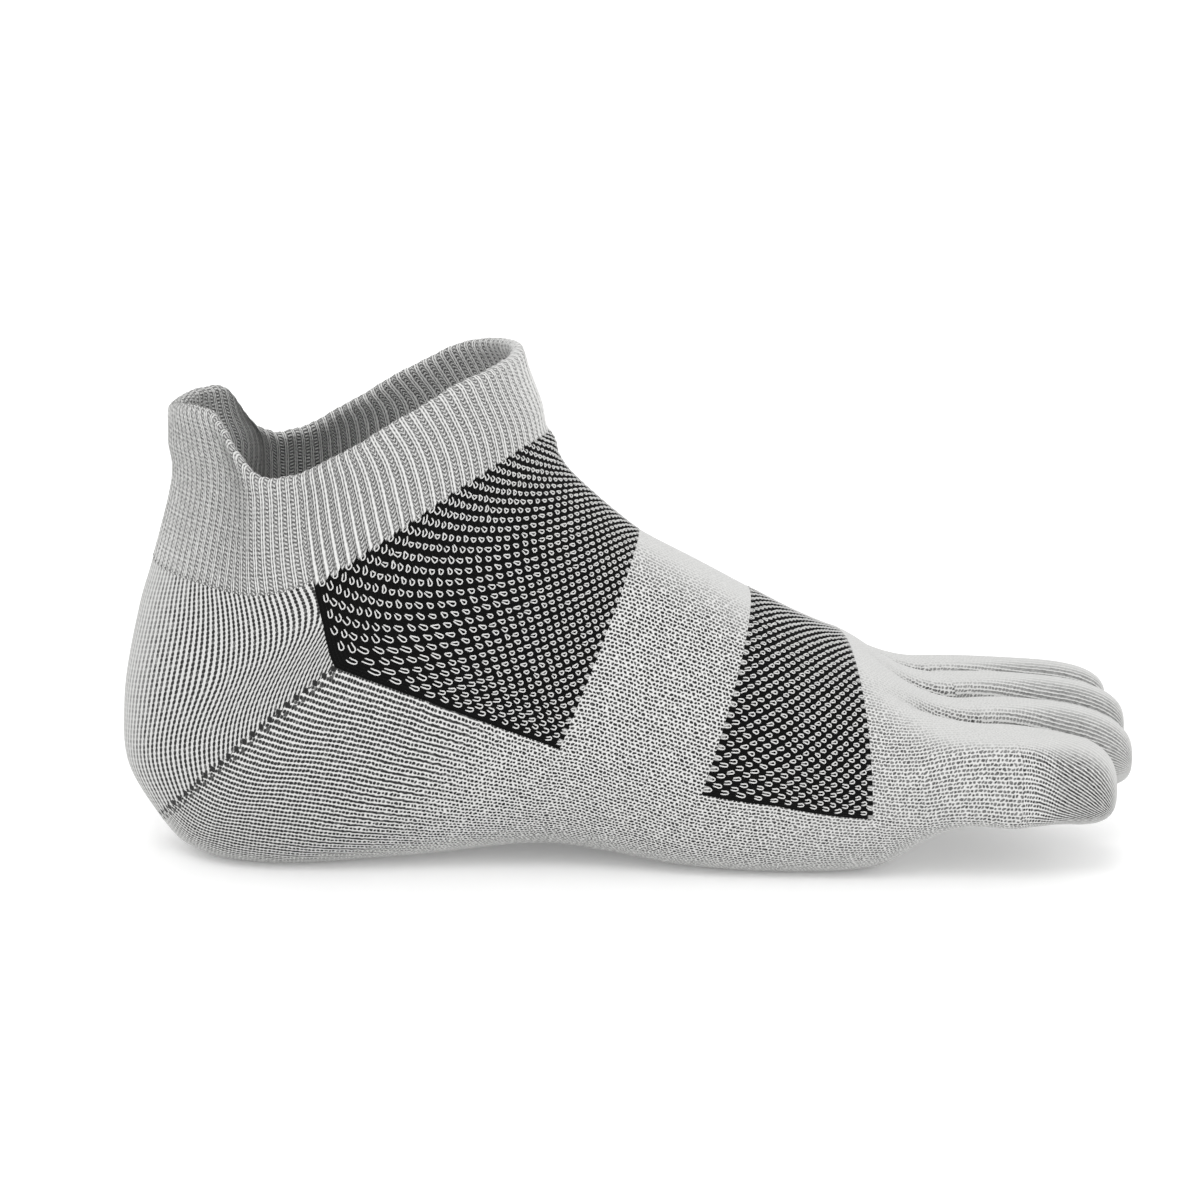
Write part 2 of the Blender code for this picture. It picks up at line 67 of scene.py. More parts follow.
Section = namedtuple(
    "Section", "station front_x front_z back_x back_z medial lateral waist crown sole ridge keel sweep"
)
SECTIONS = [
    Section(-0.05, 0.391, 1.040, 0.056, 0.938, 0.335, 0.335, 0.57, 2.1, 1.60, 0.00, 0.00, 0.00),
    Section(0.00, 0.397, 1.000, 0.053, 0.892, 0.335, 0.335, 0.57, 2.1, 1.60, 0.00, 0.00, 0.00),
    Section(0.07, 0.407, 0.945, 0.050, 0.828, 0.335, 0.335, 0.57, 2.1, 1.60, 0.00, 0.00, 0.00),
    Section(0.14, 0.416, 0.894, 0.052, 0.742, 0.345, 0.345, 0.54, 2.1, 1.65, 0.00, 0.00, 0.00),
    Section(0.20, 0.421, 0.847, 0.030, 0.577, 0.365, 0.365, 0.50, 2.1, 1.80, 0.00, 0.00, 0.00),
    Section(0.23, 0.428, 0.828, 0.017, 0.490, 0.370, 0.370, 0.48, 2.0, 1.90, 0.00, 0.00, 0.00),
    Section(0.27, 0.432, 0.797, 0.000, 0.296, 0.365, 0.365, 0.46, 2.0, 2.1, 0.00, 0.00, 0.00),
    Section(0.295, 0.436, 0.782, 0.003, 0.175, 0.363, 0.363, 0.45, 2.0, 2.2, 0.00, 0.00, 0.00),
    Section(0.32, 0.441, 0.767, 0.036, 0.060, 0.360, 0.360, 0.44, 2.0, 2.3, 0.00, 0.00, 0.00),
    Section(0.36, 0.455, 0.738, 0.075, 0.002, 0.355, 0.358, 0.43, 2.0, 2.6, 0.00, 0.00, 0.00),
    Section(0.40, 0.469, 0.712, 0.130, -0.018, 0.350, 0.355, 0.42, 2.0, 2.8, 0.00, 0.00, 0.00),
    Section(0.47, 0.492, 0.673, 0.265, -0.006, 0.345, 0.370, 0.40, 2.0, 2.8, -0.01, 0.01, 0.00),
    Section(0.54, 0.515, 0.640, 0.395, 0.020, 0.345, 0.400, 0.38, 1.9, 2.7, -0.02, 0.02, 0.00),
    Section(0.62, 0.571, 0.581, 0.472, 0.008, 0.360, 0.430, 0.37, 1.9, 2.8, -0.03, 0.03, -0.02),
    Section(0.70, 0.628, 0.519, 0.545, -0.014, 0.385, 0.470, 0.37, 1.9, 3.2, -0.04, 0.04, -0.05),
    Section(0.78, 0.675, 0.468, 0.640, -0.025, 0.400, 0.520, 0.38, 1.9, 3.4, -0.04, 0.05, -0.08),
    Section(0.86, 0.722, 0.425, 0.735, -0.012, 0.415, 0.540, 0.42, 2.0, 3.2, -0.03, 0.05, -0.12),
    Section(0.93, 0.774, 0.394, 0.793, 0.036, 0.420, 0.530, 0.47, 2.1, 2.9, 0.00, 0.05, -0.21),
    Section(1.00, 0.832, 0.370, 0.832, 0.095, 0.420, 0.520, 0.50, 2.2, 2.6, 0.03, 0.05, -0.30),
]
CUFF_END = 0.20
GORE = 0.305
INSTEP_MESH_END = 0.531
FOREFOOT_MESH_START = 0.687
FOREFOOT_MESH_END = 0.848
WEBS = 1.00

Edge = namedtuple("Edge", "turn rim seam gore")
EDGES = [
    Edge(0.00, -0.004, 0.000, 0.000),
    Edge(0.13, 0.001, -0.014, 0.000),
    Edge(0.26, 0.014, 0.000, 0.000),
    Edge(0.40, 0.064, 0.028, 0.000),
    Edge(0.55, 0.121, 0.041, 0.000),
    Edge(0.66, 0.140, 0.034, 0.002),
    Edge(0.72, 0.132, 0.025, 0.004),
    Edge(0.76, 0.108, 0.018, 0.005),
    Edge(0.79, 0.060, 0.013, 0.006),
    Edge(0.82, 0.018, 0.009, 0.007),
    Edge(0.88, 0.000, 0.002, 0.009),
    Edge(1.00, 0.002, -0.006, 0.013),
]
MeshSide = namedtuple("MeshSide", "station turn")
MESH_SIDES = [
    MeshSide(0.200, 0.5405),
    MeshSide(0.240, 0.5405),
    MeshSide(0.260, 0.5192),
    MeshSide(0.275, 0.5095),
    MeshSide(0.290, 0.5045),
    MeshSide(0.305, 0.5060),
    MeshSide(0.310, 0.4968),
    MeshSide(0.315, 0.4890),
    MeshSide(0.320, 0.4822),
    MeshSide(0.330, 0.4725),
    MeshSide(0.340, 0.4665),
    MeshSide(0.360, 0.4602),
    MeshSide(0.380, 0.4578),
    MeshSide(0.400, 0.4595),
    MeshSide(0.430, 0.4700),
    MeshSide(0.458, 0.4860),
    MeshSide(0.490, 0.5060),
    MeshSide(0.531, 0.5350),
    MeshSide(0.600, 0.5425),
    MeshSide(0.687, 0.5318),
    MeshSide(0.760, 0.5145),
    MeshSide(0.848, 0.5270),
    MeshSide(0.900, 0.5600),
    MeshSide(1.000, 0.5600),
]
Toe = namedtuple(
    "Toe", "name tip_x root_top root_bottom knuckle_top knuckle_bottom tip_top tip_bottom web tip_web blunt"
)
FIRST_WEB = -0.418
FIRST_TIP_WEB = -0.385
TOES = [
    Toe("big_toe", 0.976, 0.294, 0.112, 0.285, 0.110, 0.262, 0.090, -0.145, -0.135, 3.0),
    Toe("second_toe", 1.000, 0.303, 0.122, 0.303, 0.128, 0.268, 0.112, 0.035, 0.020, 3.2),
    Toe("third_toe", 0.998, 0.320, 0.132, 0.323, 0.145, 0.300, 0.135, 0.205, 0.165, 3.3),
    Toe("fourth_toe", 0.985, 0.320, 0.138, 0.325, 0.155, 0.318, 0.150, 0.365, 0.300, 3.4),
    Toe("little_toe", 0.890, 0.285, 0.122, 0.280, 0.132, 0.255, 0.130, 0.515, 0.440, 3.0),
]
# Distance between the courses of the plain knit.
Course = namedtuple("Course", "station pitch")
COURSES = [Course(0.20, 0.00085), Course(0.30, 0.00095), Course(0.42, 0.00098), Course(0.55, 0.00106),
           Course(0.85, 0.00105), Course(1.00, 0.00098)]
# Wales from the shin line to the panels' side edge, and on to the middle of the sole.
FOOT_WALES = (65.0, 62.0)
MIDDLE_STATION = 0.62       # where the courses of the foot are counted from
# Turns and stations at which the ribs start on the cuff's seam and end on its rim.
RibLine = namedtuple("RibLine", "seam rim")
RIB_LINES = [
    RibLine(0.00, 0.000), RibLine(0.08, 0.108), RibLine(0.16, 0.195), RibLine(0.28, 0.338),
    RibLine(0.40, 0.478), RibLine(0.50, 0.580), RibLine(0.60, 0.675), RibLine(0.68, 0.765),
    RibLine(0.75, 0.818), RibLine(0.82, 0.885), RibLine(0.91, 0.950), RibLine(1.00, 1.000),
]
ROOT_SQUARENESS = 4.0
TIP_SQUARENESS = 2.1
ROUND_FROM = 0.60
TAPER_FROM = 0.42
VALLEY_SHARE = 0.45

PROFILE_SAMPLES = 161
WEB_SAMPLES = 90
CORNER_SAMPLES = 30
GRID_STATIONS = 701
GRID_TURNS = 241        # on each side


# The skin.

def column(rows, name):
    """One named column of a table as an array."""
    return np.array([getattr(row, name) for row in rows])


def smooth(rows, key, name, at):
    """A table's column read as a cubic curve over its key column, with slopes from the neighbouring rows."""
    keys, values = column(rows, key), column(rows, name)
    slopes = np.gradient(values, keys)
    at = np.clip(at, keys[0], keys[-1])
    low = np.clip(np.searchsorted(keys, at, side="right") - 1, 0, len(keys) - 2)
    span = keys[low + 1] - keys[low]
    u = (at - keys[low]) / span
    return (
        (2 * u**3 - 3 * u**2 + 1) * values[low]
        + (u**3 - 2 * u**2 + u) * span * slopes[low]
        + (3 * u**2 - 2 * u**3) * values[low + 1]
        + (u**3 - u**2) * span * slopes[low + 1]
    )


def ease(u):
    """0 to 1 with a soft start and end: three u squared less two u cubed."""
    u = np.clip(u, 0.0, 1.0)
    return u * u * (3 - 2 * u)


def superellipse(share, exponent):
    """Height of a unit superellipse: the exponent's root of 1 less the share to that power."""
    return (1 - np.clip(np.abs(share), 0, 1) ** exponent) ** (1 / exponent)


def unit(vectors):
    """Vectors divided by their lengths."""
    return vectors / np.maximum(np.linalg.norm(vectors, axis=-1, keepdims=True), 1e-12)


def root_x(y):
    """Distance from the heel of the slanted line where the toes leave the foot."""
    return SECTIONS[-1].front_x * LENGTH + SECTIONS[-1].sweep * y


def webs_outline(side):
    """The foot's outline at the toe webs: superellipse humps, one a toe, with valleys between them."""
    sides = [FIRST_WEB] + [toe.web for toe in TOES]
    cells = [
        (
            (a + b) / 2 * BALL_WIDTH,
            (b - a) / 2 * BALL_WIDTH,
            (toe.root_top + toe.root_bottom) / 2 * HEIGHT,
            (toe.root_top - toe.root_bottom) / 2 * HEIGHT,
        )
        for toe, a, b in zip(TOES, sides, sides[1:])
    ]
    y0, half0, z0, rise0 = cells[0 if side < 0 else -1]
    quarter = np.linspace(0, math.pi / 2, CORNER_SAMPLES)
    round_y = y0 + side * half0 * np.sin(quarter) ** (2 / ROOT_SQUARENESS)
    round_z = rise0 * np.cos(quarter) ** (2 / ROOT_SQUARENESS)
    start = (SECTIONS[-1].ridge + SECTIONS[-1].keel) / 2 * BALL_WIDTH
    across = np.linspace(start, y0, WEB_SAMPLES)[:-1]
    lift, middle = np.zeros(len(across)), np.zeros(len(across))
    for y, half, z, rise in cells:
        inside = np.abs(across - y) <= half + 1e-6
        share = superellipse((across - y) / half, ROOT_SQUARENESS)
        lift = np.where(inside, rise * np.maximum(share, VALLEY_SHARE), lift)
        middle = np.where(inside, z, middle)
    y = np.append(across, round_y)
    top = np.column_stack([y, np.append(middle + lift, z0 + round_z)])
    bottom = np.column_stack([y, np.append(middle - lift, z0 - round_z)])
    return np.vstack([top, bottom[::-1][1:]])


def spaced(points, shares):
    """Points at the given shares of a polyline's length."""
    steps = np.linalg.norm(np.diff(points, axis=0), axis=1)
    length = np.concatenate([[0], np.cumsum(steps)])
    return np.column_stack([np.interp(shares, length / length[-1], line) for line in points.T])


def half_skin(stations, turns, side):
    """Skin of one side: each station's half superellipse, respaced by length, eased into the toe webs."""
    value = {name: smooth(SECTIONS, "station", name, stations)[:, None] for name in Section._fields[1:]}
    angle = np.linspace(0, math.pi, PROFILE_SAMPLES)[None, :]
    upper = angle <= math.pi / 2
    exponent = np.where(upper, value["crown"], value["sole"])
    reach = np.sin(angle).clip(0) ** (2 / exponent) * value["medial" if side < 0 else "lateral"]
    rise = np.abs(np.cos(angle)) ** (2 / exponent)
    up = np.where(upper, value["waist"] + (1 - value["waist"]) * rise, value["waist"] * (1 - rise))
    y = (value["keel"] + (value["ridge"] - value["keel"]) * up + side * reach) * BALL_WIDTH
    x = (value["back_x"] + (value["front_x"] - value["back_x"]) * up) * LENGTH
    z = (value["back_z"] + (value["front_z"] - value["back_z"]) * up) * HEIGHT
    lines = np.stack([x, y, z], axis=2)
    steps = np.linalg.norm(np.diff(lines, axis=1), axis=2)
    length = np.concatenate([np.zeros((len(stations), 1)), np.cumsum(steps, axis=1)], axis=1)
    length /= length[:, -1:]
    low = (length[:, None, 1:-1] <= turns[None, :, None]).sum(axis=2)
    row = np.arange(len(stations))[:, None]
    before, after = length[row, low], length[row, low + 1]
    share = ((turns - before) / (after - before))[..., None]
    points = lines[row, low] * (1 - share) + lines[row, low + 1] * share
    fade = ease((stations - FOREFOOT_MESH_END) / (WEBS - FOREFOOT_MESH_END))[:, None, None]
    points[..., 1:] += (spaced(webs_outline(side), turns)[None] - points[..., 1:]) * fade
    points[..., 0] += value["sweep"] * points[..., 1]
    points[..., 2] = np.maximum(points[..., 2], 0.0)
    return points - ORIGIN


def read(grid, r, c):
    """A grid's values at rows and columns, in straight steps between them."""
    i = np.clip(np.floor(r).astype(int), 0, grid.shape[0] - 2)
    j = np.clip(np.floor(c).astype(int), 0, grid.shape[1] - 2)
    u, v = r - i, c - j
    if grid.ndim > 2:
        u, v = u[..., None], v[..., None]
    near = grid[i, j] * (1 - v) + grid[i, j + 1] * v
    far = grid[i + 1, j] * (1 - v) + grid[i + 1, j + 1] * v
    return near * (1 - u) + far * u


def openness(normals):
    """How squarely normals face sideways, where the knit is drawn open: 0 on top and below, 1 aside."""
    return ease((np.abs(normals[..., 1]) - 0.25) / 0.6)


class Skin:
    """The outer surface on a fine grid of stations and signed turns, read from it in straight steps."""

    def __init__(self):
        self.stations = np.linspace(SECTIONS[0].station, WEBS, GRID_STATIONS)
        turns = np.linspace(0, 1, GRID_TURNS)
        medial, lateral = (half_skin(self.stations, turns, side) for side in (-1, 1))
        self.points = np.concatenate([medial[:, ::-1], lateral[:, 1:]], axis=1)
        closed = np.concatenate([self.points[:, -2:-1], self.points, self.points[:, 1:2]], axis=1)
        around = np.gradient(closed, axis=1)[:, 1:-1]
        along = np.gradient(self.points, axis=0)
        self.normals = unit(np.cross(along, around))
        self.halves = np.linalg.norm(np.diff(self.points[:, :GRID_TURNS], axis=1), axis=2).sum(axis=1)
        steps = np.linalg.norm(np.diff(self.points, axis=0), axis=2)
        self.lengths = self.sums(steps)
        pitch = np.interp(self.stations[1:], column(COURSES, "station"), column(COURSES, "pitch"))
        self.courses = self.sums(steps / pitch[:, None])

    def sums(self, steps):
        """Running sums along the stations, with a row of noughts first."""
        return np.concatenate([np.zeros((1, steps.shape[1])), np.cumsum(steps, axis=0)])

    def read(self, grid, stations, turns):
        """A grid's values at stations and turns."""
        rows, columns = grid.shape[:2]
        r = (stations - self.stations[0]) / (WEBS - self.stations[0]) * (rows - 1)
        c = (turns + 1) / 2 * (columns - 1)
        return read(grid, np.clip(r, 0, rows - 1), np.clip(c, 0, columns - 1))

    def at(self, stations, turns, lift=0.0):
        """Points at a height over the skin."""
        lift = np.asarray(lift, float)
        lift = lift[..., None] if lift.ndim else lift
        normals = unit(self.read(self.normals, stations, turns))
        return self.read(self.points, stations, turns) + normals * lift

    def length(self, stations, turns):
        """Distance along the skin from the first station."""
        return self.read(self.lengths, stations, turns)

    def course(self, stations, turns):
        """Courses of plain knit along the skin from the first station."""
        return self.read(self.courses, stations, turns)

    def flank(self, stations, turns):
        """How open the knit is drawn at stations and turns."""
        return openness(unit(self.read(self.normals, stations, turns)))


SKIN = Skin()


def edge_dip(name, turns):
    """How far, in stations, the rim, the seam or the gore line dips at a turn."""
    return smooth(EDGES, "turn", name, np.abs(turns))


def column_turns(stations, shares):
    """Signed turns of columns. A share of 1 is the mesh panels' side edge and 2 the middle of the sole."""
    edge = np.interp(stations, column(MESH_SIDES, "station"), column(MESH_SIDES, "turn"))
    size = np.abs(shares)
    return np.sign(shares) * np.where(size <= 1, size * edge, edge + (size - 1) * (1 - edge))


def seam_station(shares):
    """Station of the cuff's lower edge at a column share."""
    return CUFF_END + edge_dip("seam", column_turns(np.full(shares.shape, CUFF_END), shares))


def gore_station(shares):
    """Station of the gore line at a column share."""
    return GORE + edge_dip("gore", column_turns(np.full(shares.shape, GORE), shares))


def rounded(stations, turns, width, kept=0.0):
    """Evens out the bends of the lines that run down the rows of a grid on the skin: averages their points
    over a width of rows, leaving a kept share as it was, then moves stations and turns until the skin is
    there."""
    points = SKIN.at(stations, turns)
    pad = 3 * width
    before = 2 * points[:1] - points[pad:0:-1]
    after = 2 * points[-1:] - points[-2 : -pad - 2 : -1]
    padded = np.concatenate([before, points, after])
    weights = np.exp(-0.5 * (np.arange(-pad, pad + 1) / width) ** 2)
    weights /= weights.sum()
    goal = sum(w * padded[k : k + len(points)] for k, w in enumerate(weights))
    goal += (points - goal) * np.asarray(kept)[..., None]
    step = 0.002
    for _ in range(6):
        here = SKIN.at(stations, turns)
        along = (SKIN.at(stations + step, turns) - here) / step
        around = (SKIN.at(stations, turns + step) - here) / step
        miss = goal - here
        aa, ab, bb = (along * along).sum(-1), (along * around).sum(-1), (around * around).sum(-1)
        am, bm = (along * miss).sum(-1), (around * miss).sum(-1)
        size = np.maximum(aa * bb - ab * ab, 1e-12)
        stations = stations + np.clip((am * bb - bm * ab) / size, -0.02, 0.02)
        turns = turns + np.clip((bm * aa - am * ab) / size, -0.02, 0.02)
    return stations, turns


# Meshes.

def put_mesh(name, points, faces, corners, uvs, material, floats=None):
    """A mesh piece from points, faces and the corner number of every face corner, for its UV map."""
    mesh = bpy.data.meshes.new(name)
    mesh.from_pydata(points.tolist(), [], [face for sheet in faces for face in sheet.tolist()])
    layer = mesh.uv_layers.new(name="knit")
    layer.data.foreach_set("uv", uvs[corners].astype(np.float32).ravel())
    for key, values in (floats or {}).items():
        attribute = mesh.attributes.new(key, "FLOAT", "CORNER")
        attribute.data.foreach_set("value", values[corners].astype(np.float32))
    mesh.materials.append(material)
    mesh.shade_smooth()
    mesh.set_sharp_from_angle(angle=math.radians(60))
    piece = bpy.data.objects.new(name, mesh)
    bpy.context.scene.collection.objects.link(piece)
    return piece


def put_grid(name, points, uvs, material, wrap_rows=False, wrap_columns=False, floats=None):
    """A grid of quads. A wrapped direction ends on its first row or column, and its last one is left out."""
    rows, columns = points.shape[:2]
    kept_rows, kept_columns = rows - wrap_rows, columns - wrap_columns
    i, j = np.meshgrid(np.arange(rows), np.arange(columns), indexing="ij")
    vertex = (i % kept_rows) * kept_columns + j % kept_columns
    corner = i * columns + j
    cells = (slice(None, -1), slice(None, -1)), (slice(1, None), slice(None, -1)), \
        (slice(1, None), slice(1, None)), (slice(None, -1), slice(1, None))
    faces = np.stack([vertex[cell] for cell in cells], axis=2).reshape(-1, 4)
    corners = np.stack([corner[cell] for cell in cells], axis=2).reshape(-1)
    kept = points[:kept_rows, :kept_columns].reshape(-1, 3)
    flat = {key: values.reshape(-1) for key, values in (floats or {}).items()}
    return put_mesh(name, kept, [faces], corners, uvs.reshape(-1, 2), material, flat)


def put_shell(name, outer, inner, uvs, material, kept=None, wraps=False, floats=None, tips=None):
    """A wall between an outer and an inner grid, closed along every edge of its kept cells. With tips, an
    outer and an inner point, fans of triangles close the last row instead."""
    rows, columns = outer.shape[:2]
    if kept is None:
        kept = np.ones((rows - 1, columns - 1), bool)
    used_columns = columns - wraps
    i, j = np.meshgrid(np.arange(rows), np.arange(columns), indexing="ij")
    vertex = i * used_columns + j % used_columns
    corner = i * columns + j
    inner_vertex, inner_corner = vertex + rows * used_columns, corner + rows * columns
    r, c = np.nonzero(kept)
    ring = [(r, c), (r + 1, c), (r + 1, c + 1), (r, c + 1)]
    sheets = [([vertex[p] for p in ring], [corner[p] for p in ring]),
              ([inner_vertex[p] for p in ring[::-1]], [inner_corner[p] for p in ring[::-1]])]
    wide = np.zeros((rows + 1, columns + 1), bool)
    wide[1:-1, 1:-1] = kept
    if wraps:
        wide[:, 0], wide[:, -1] = wide[:, -2], wide[:, 1]
    if tips is not None:
        wide[-1] = True
    for down, right, start, end in ((0, -1, 0, 1), (0, 1, 2, 3), (-1, 0, 3, 0), (1, 0, 1, 2)):
        open_side = kept & ~wide[1 + down : rows + down, 1 + right : columns + right]
        r, c = np.nonzero(open_side)
        ring = [(r, c), (r + 1, c), (r + 1, c + 1), (r, c + 1)]
        p, q = ring[start], ring[end]
        sheets.append(([vertex[q], vertex[p], inner_vertex[p], inner_vertex[q]],
                       [corner[q], corner[p], inner_corner[p], inner_corner[q]]))
    faces = [np.concatenate([np.stack(quad, axis=1) for quad, _ in sheets])]
    corners = np.concatenate([np.stack(quad, axis=1).ravel() for _, quad in sheets])
    points = np.concatenate([outer[:, :used_columns].reshape(-1, 3), inner[:, :used_columns].reshape(-1, 3)])
    both = np.concatenate([uvs.reshape(-1, 2)] * 2)
    flat = {key: np.concatenate([values.reshape(-1)] * 2) for key, values in (floats or {}).items()}
    if tips is not None:
        c = np.arange(columns - 1)
        skins = (vertex, corner, 1), (inner_vertex, inner_corner, -1)
        for skin, (number, place, order) in enumerate(skins):
            pole = np.full(columns - 1, len(points) + skin)
            fan = (number[-1, c], pole, number[-1, c + 1])[::order]
            marks = (place[-1, c], len(both) + c, place[-1, c + 1])[::order]
            faces.append(np.stack(fan, axis=1))
            corners = np.concatenate([corners, np.stack(marks, axis=1).ravel()])
        points = np.concatenate([points, np.stack(tips)])
        ends = np.stack([(uvs[-1, c, 0] + uvs[-1, c + 1, 0]) / 2, uvs[-1, c, 1] + 0.4], axis=1)
        both = np.concatenate([both, ends])
        flat = {key: np.concatenate([values, values[c - columns + 1]]) for key, values in flat.items()}
    used = np.unique(np.concatenate([sheet.ravel() for sheet in faces]))
    number = np.zeros(len(points), int)
    number[used] = np.arange(len(used))
    return put_mesh(name, points[used], [number[sheet] for sheet in faces], corners, both, material, flat)


def put_tubes(name, paths, ups, radius, sides, material, flatten=1.0):
    """Yarns: every path carries a ring of points round it, square to the path, and a fan closes each end."""
    count, steps = paths.shape[:2]
    tangents = unit(np.gradient(paths, axis=1))
    across = unit(np.cross(tangents, ups))
    over = np.cross(across, tangents)
    angle = np.linspace(0, 2 * math.pi, sides, endpoint=False)
    ring = np.cos(angle)[:, None] * across[:, :, None] + np.sin(angle)[:, None] * over[:, :, None] * flatten
    points = paths[:, :, None] + ring * radius
    ends = paths[:, [0, -1]] + tangents[:, [0, -1]] * radius * np.array([-0.6, 0.6])[:, None]
    block = steps * sides + 2
    points = np.concatenate([points.reshape(count, -1, 3), ends], axis=1).reshape(-1, 3)
    i, j = np.meshgrid(np.arange(steps - 1), np.arange(sides), indexing="ij")
    k = (j + 1) % sides
    near, far = i * sides, (i + 1) * sides
    quads = np.stack([near + j, near + k, far + k, far + j], axis=2).reshape(-1, 4)
    j, k = np.arange(sides), (np.arange(sides) + 1) % sides
    last = (steps - 1) * sides
    caps = np.concatenate([
        np.stack([k, j, np.full(sides, steps * sides)], axis=1),
        np.stack([last + j, last + k, np.full(sides, steps * sides + 1)], axis=1),
    ])
    shift = np.arange(count)[:, None, None] * block
    quads, caps = (quads[None] + shift).reshape(-1, 4), (caps[None] + shift).reshape(-1, 3)
    uv_u = np.concatenate([np.tile(np.arange(sides) / sides, steps), [0.5, 0.5]])
    uv_v = np.concatenate([np.repeat(np.linspace(0, 1, steps), sides), [0, 1]])
    uvs = np.tile(np.column_stack([uv_u, uv_v]), (count, 1))
    corners = np.concatenate([quads.ravel(), caps.ravel()])
    return put_mesh(name, points, [quads, caps], corners, uvs, material)


# Materials.

FUZZ_SCALE = 2600.0     # fibres in a metre


def scaled(colour, by):
    """A colour made darker or lighter."""
    return tuple(min(1.0, c * by) for c in colour)


class Nodes:
    """Short words for putting a material's nodes together."""

    def __init__(self, name):
        self.material = bpy.data.materials.new(name)
        self.material.use_nodes = True
        self.tree = self.material.node_tree
        self.shader = self.tree.nodes["Principled BSDF"]

    def add(self, kind, **settings):
        node = self.tree.nodes.new(kind)
        for key, value in settings.items():
            setattr(node, key, value)
        return node

    def plug(self, value, socket):
        if isinstance(value, bpy.types.NodeSocket):
            self.tree.links.new(value, socket)
        else:
            socket.default_value = value

    def math(self, operation, *values):
        node = self.add("ShaderNodeMath", operation=operation)
        for value, socket in zip(values, node.inputs):
            self.plug(value, socket)
        return node.outputs[0]

    # The common sums by names of their own.
    plus = partialmethod(math, "ADD")
    less = partialmethod(math, "SUBTRACT")
    times = partialmethod(math, "MULTIPLY")
    times_plus = partialmethod(math, "MULTIPLY_ADD")
    power = partialmethod(math, "POWER")
    larger = partialmethod(math, "MAXIMUM")
    smaller = partialmethod(math, "MINIMUM")

    def wave(self, value):
        """1 where the value is whole, 0 half way between: half of 1 plus the cosine of the full turn."""
        cosine = self.math("COSINE", self.times(value, 2 * math.pi))
        return self.times_plus(cosine, 0.5, 0.5)

    def soft_step(self, value, low, high):
        node = self.add("ShaderNodeMapRange", interpolation_type="SMOOTHSTEP")
        for item, socket in zip((value, low, high, 0.0, 1.0), node.inputs):
            self.plug(item, socket)
        return node.outputs[0]

    def mix(self, share, a, b):
        node = self.add("ShaderNodeMix", data_type="FLOAT")
        for item, socket in zip((share, a, b), (node.inputs[0], node.inputs[2], node.inputs[3])):
            self.plug(item, socket)
        return node.outputs[0]

    def colours(self, share, a, b):
        node = self.add("ShaderNodeMix", data_type="RGBA")
        self.plug(share, node.inputs[0])
        for item, socket in ((a, node.inputs[6]), (b, node.inputs[7])):
            self.plug((*item, 1) if isinstance(item, tuple) else item, socket)
        return node.outputs[2]

    def fuzzy(self, yarn, darker, lighter):
        """Fibres of a yarn: their fine relief, and the yarn's colour from a darker to a lighter one."""
        fuzz = self.noise(self.add("ShaderNodeTexCoord").outputs["Object"], FUZZ_SCALE, 2.0)
        return fuzz, self.colours(fuzz, scaled(yarn, darker), scaled(yarn, lighter))

    def uv(self):
        node = self.add("ShaderNodeUVMap", uv_map="knit")
        split = self.add("ShaderNodeSeparateXYZ")
        self.tree.links.new(node.outputs[0], split.inputs[0])
        return node.outputs[0], split.outputs[0], split.outputs[1]

    def attribute(self, name):
        return self.add("ShaderNodeAttribute", attribute_type="GEOMETRY", attribute_name=name).outputs["Fac"]

    def noise(self, vector, scale, detail=1.0, colour=False):
        node = self.add("ShaderNodeTexNoise", noise_dimensions="3D")
        self.plug(vector, node.inputs["Vector"])
        node.inputs["Scale"].default_value = scale
        node.inputs["Detail"].default_value = detail
        return node.outputs["Color" if colour else "Fac"]

    def curve(self, value, stops):
        """A ramp through stops of place and height."""
        node = self.add("ShaderNodeValToRGB")
        ramp = node.color_ramp
        while len(ramp.elements) < len(stops):
            ramp.elements.new(0.5)
        for element, (place, height) in zip(ramp.elements, stops):
            element.position = place
            element.color = (height, height, height, 1)
        self.plug(value, node.inputs[0])
        return node.outputs[0]

    def finish(self, colour, height, distance, roughness=0.92, sheen=0.1, strength=1.0, specular=0.25):
        bump = self.add("ShaderNodeBump")
        bump.inputs["Distance"].default_value = distance
        bump.inputs["Strength"].default_value = strength
        self.plug(height, bump.inputs["Height"])
        self.plug(bump.outputs[0], self.shader.inputs["Normal"])
        self.plug(colour, self.shader.inputs["Base Color"])
        self.shader.inputs["Roughness"].default_value = roughness
        self.shader.inputs["Sheen Weight"].default_value = sheen
        self.shader.inputs["Sheen Roughness"].default_value = 0.6
        self.shader.inputs["Specular IOR Level"].default_value = specular
        return self.material


# Plain knit: how uneven its holes are, how dark the lines between its rows of holes, how narrow the rows, how
# open it is where it isn't drawn open, and whether the gore line's holes show on it.
Knit = namedtuple("Knit", "wobble solid_lines narrow least marks")
KNITS = {
    "heel_knit": Knit(0.3, 0.16, 1.6, 0.36, True),
    "foot_knit": Knit(0.8, 0.0, 1.0, 0.12, True),
    "toe_knit": Knit(0.7, 0.0, 1.2, 0.12, False),
}
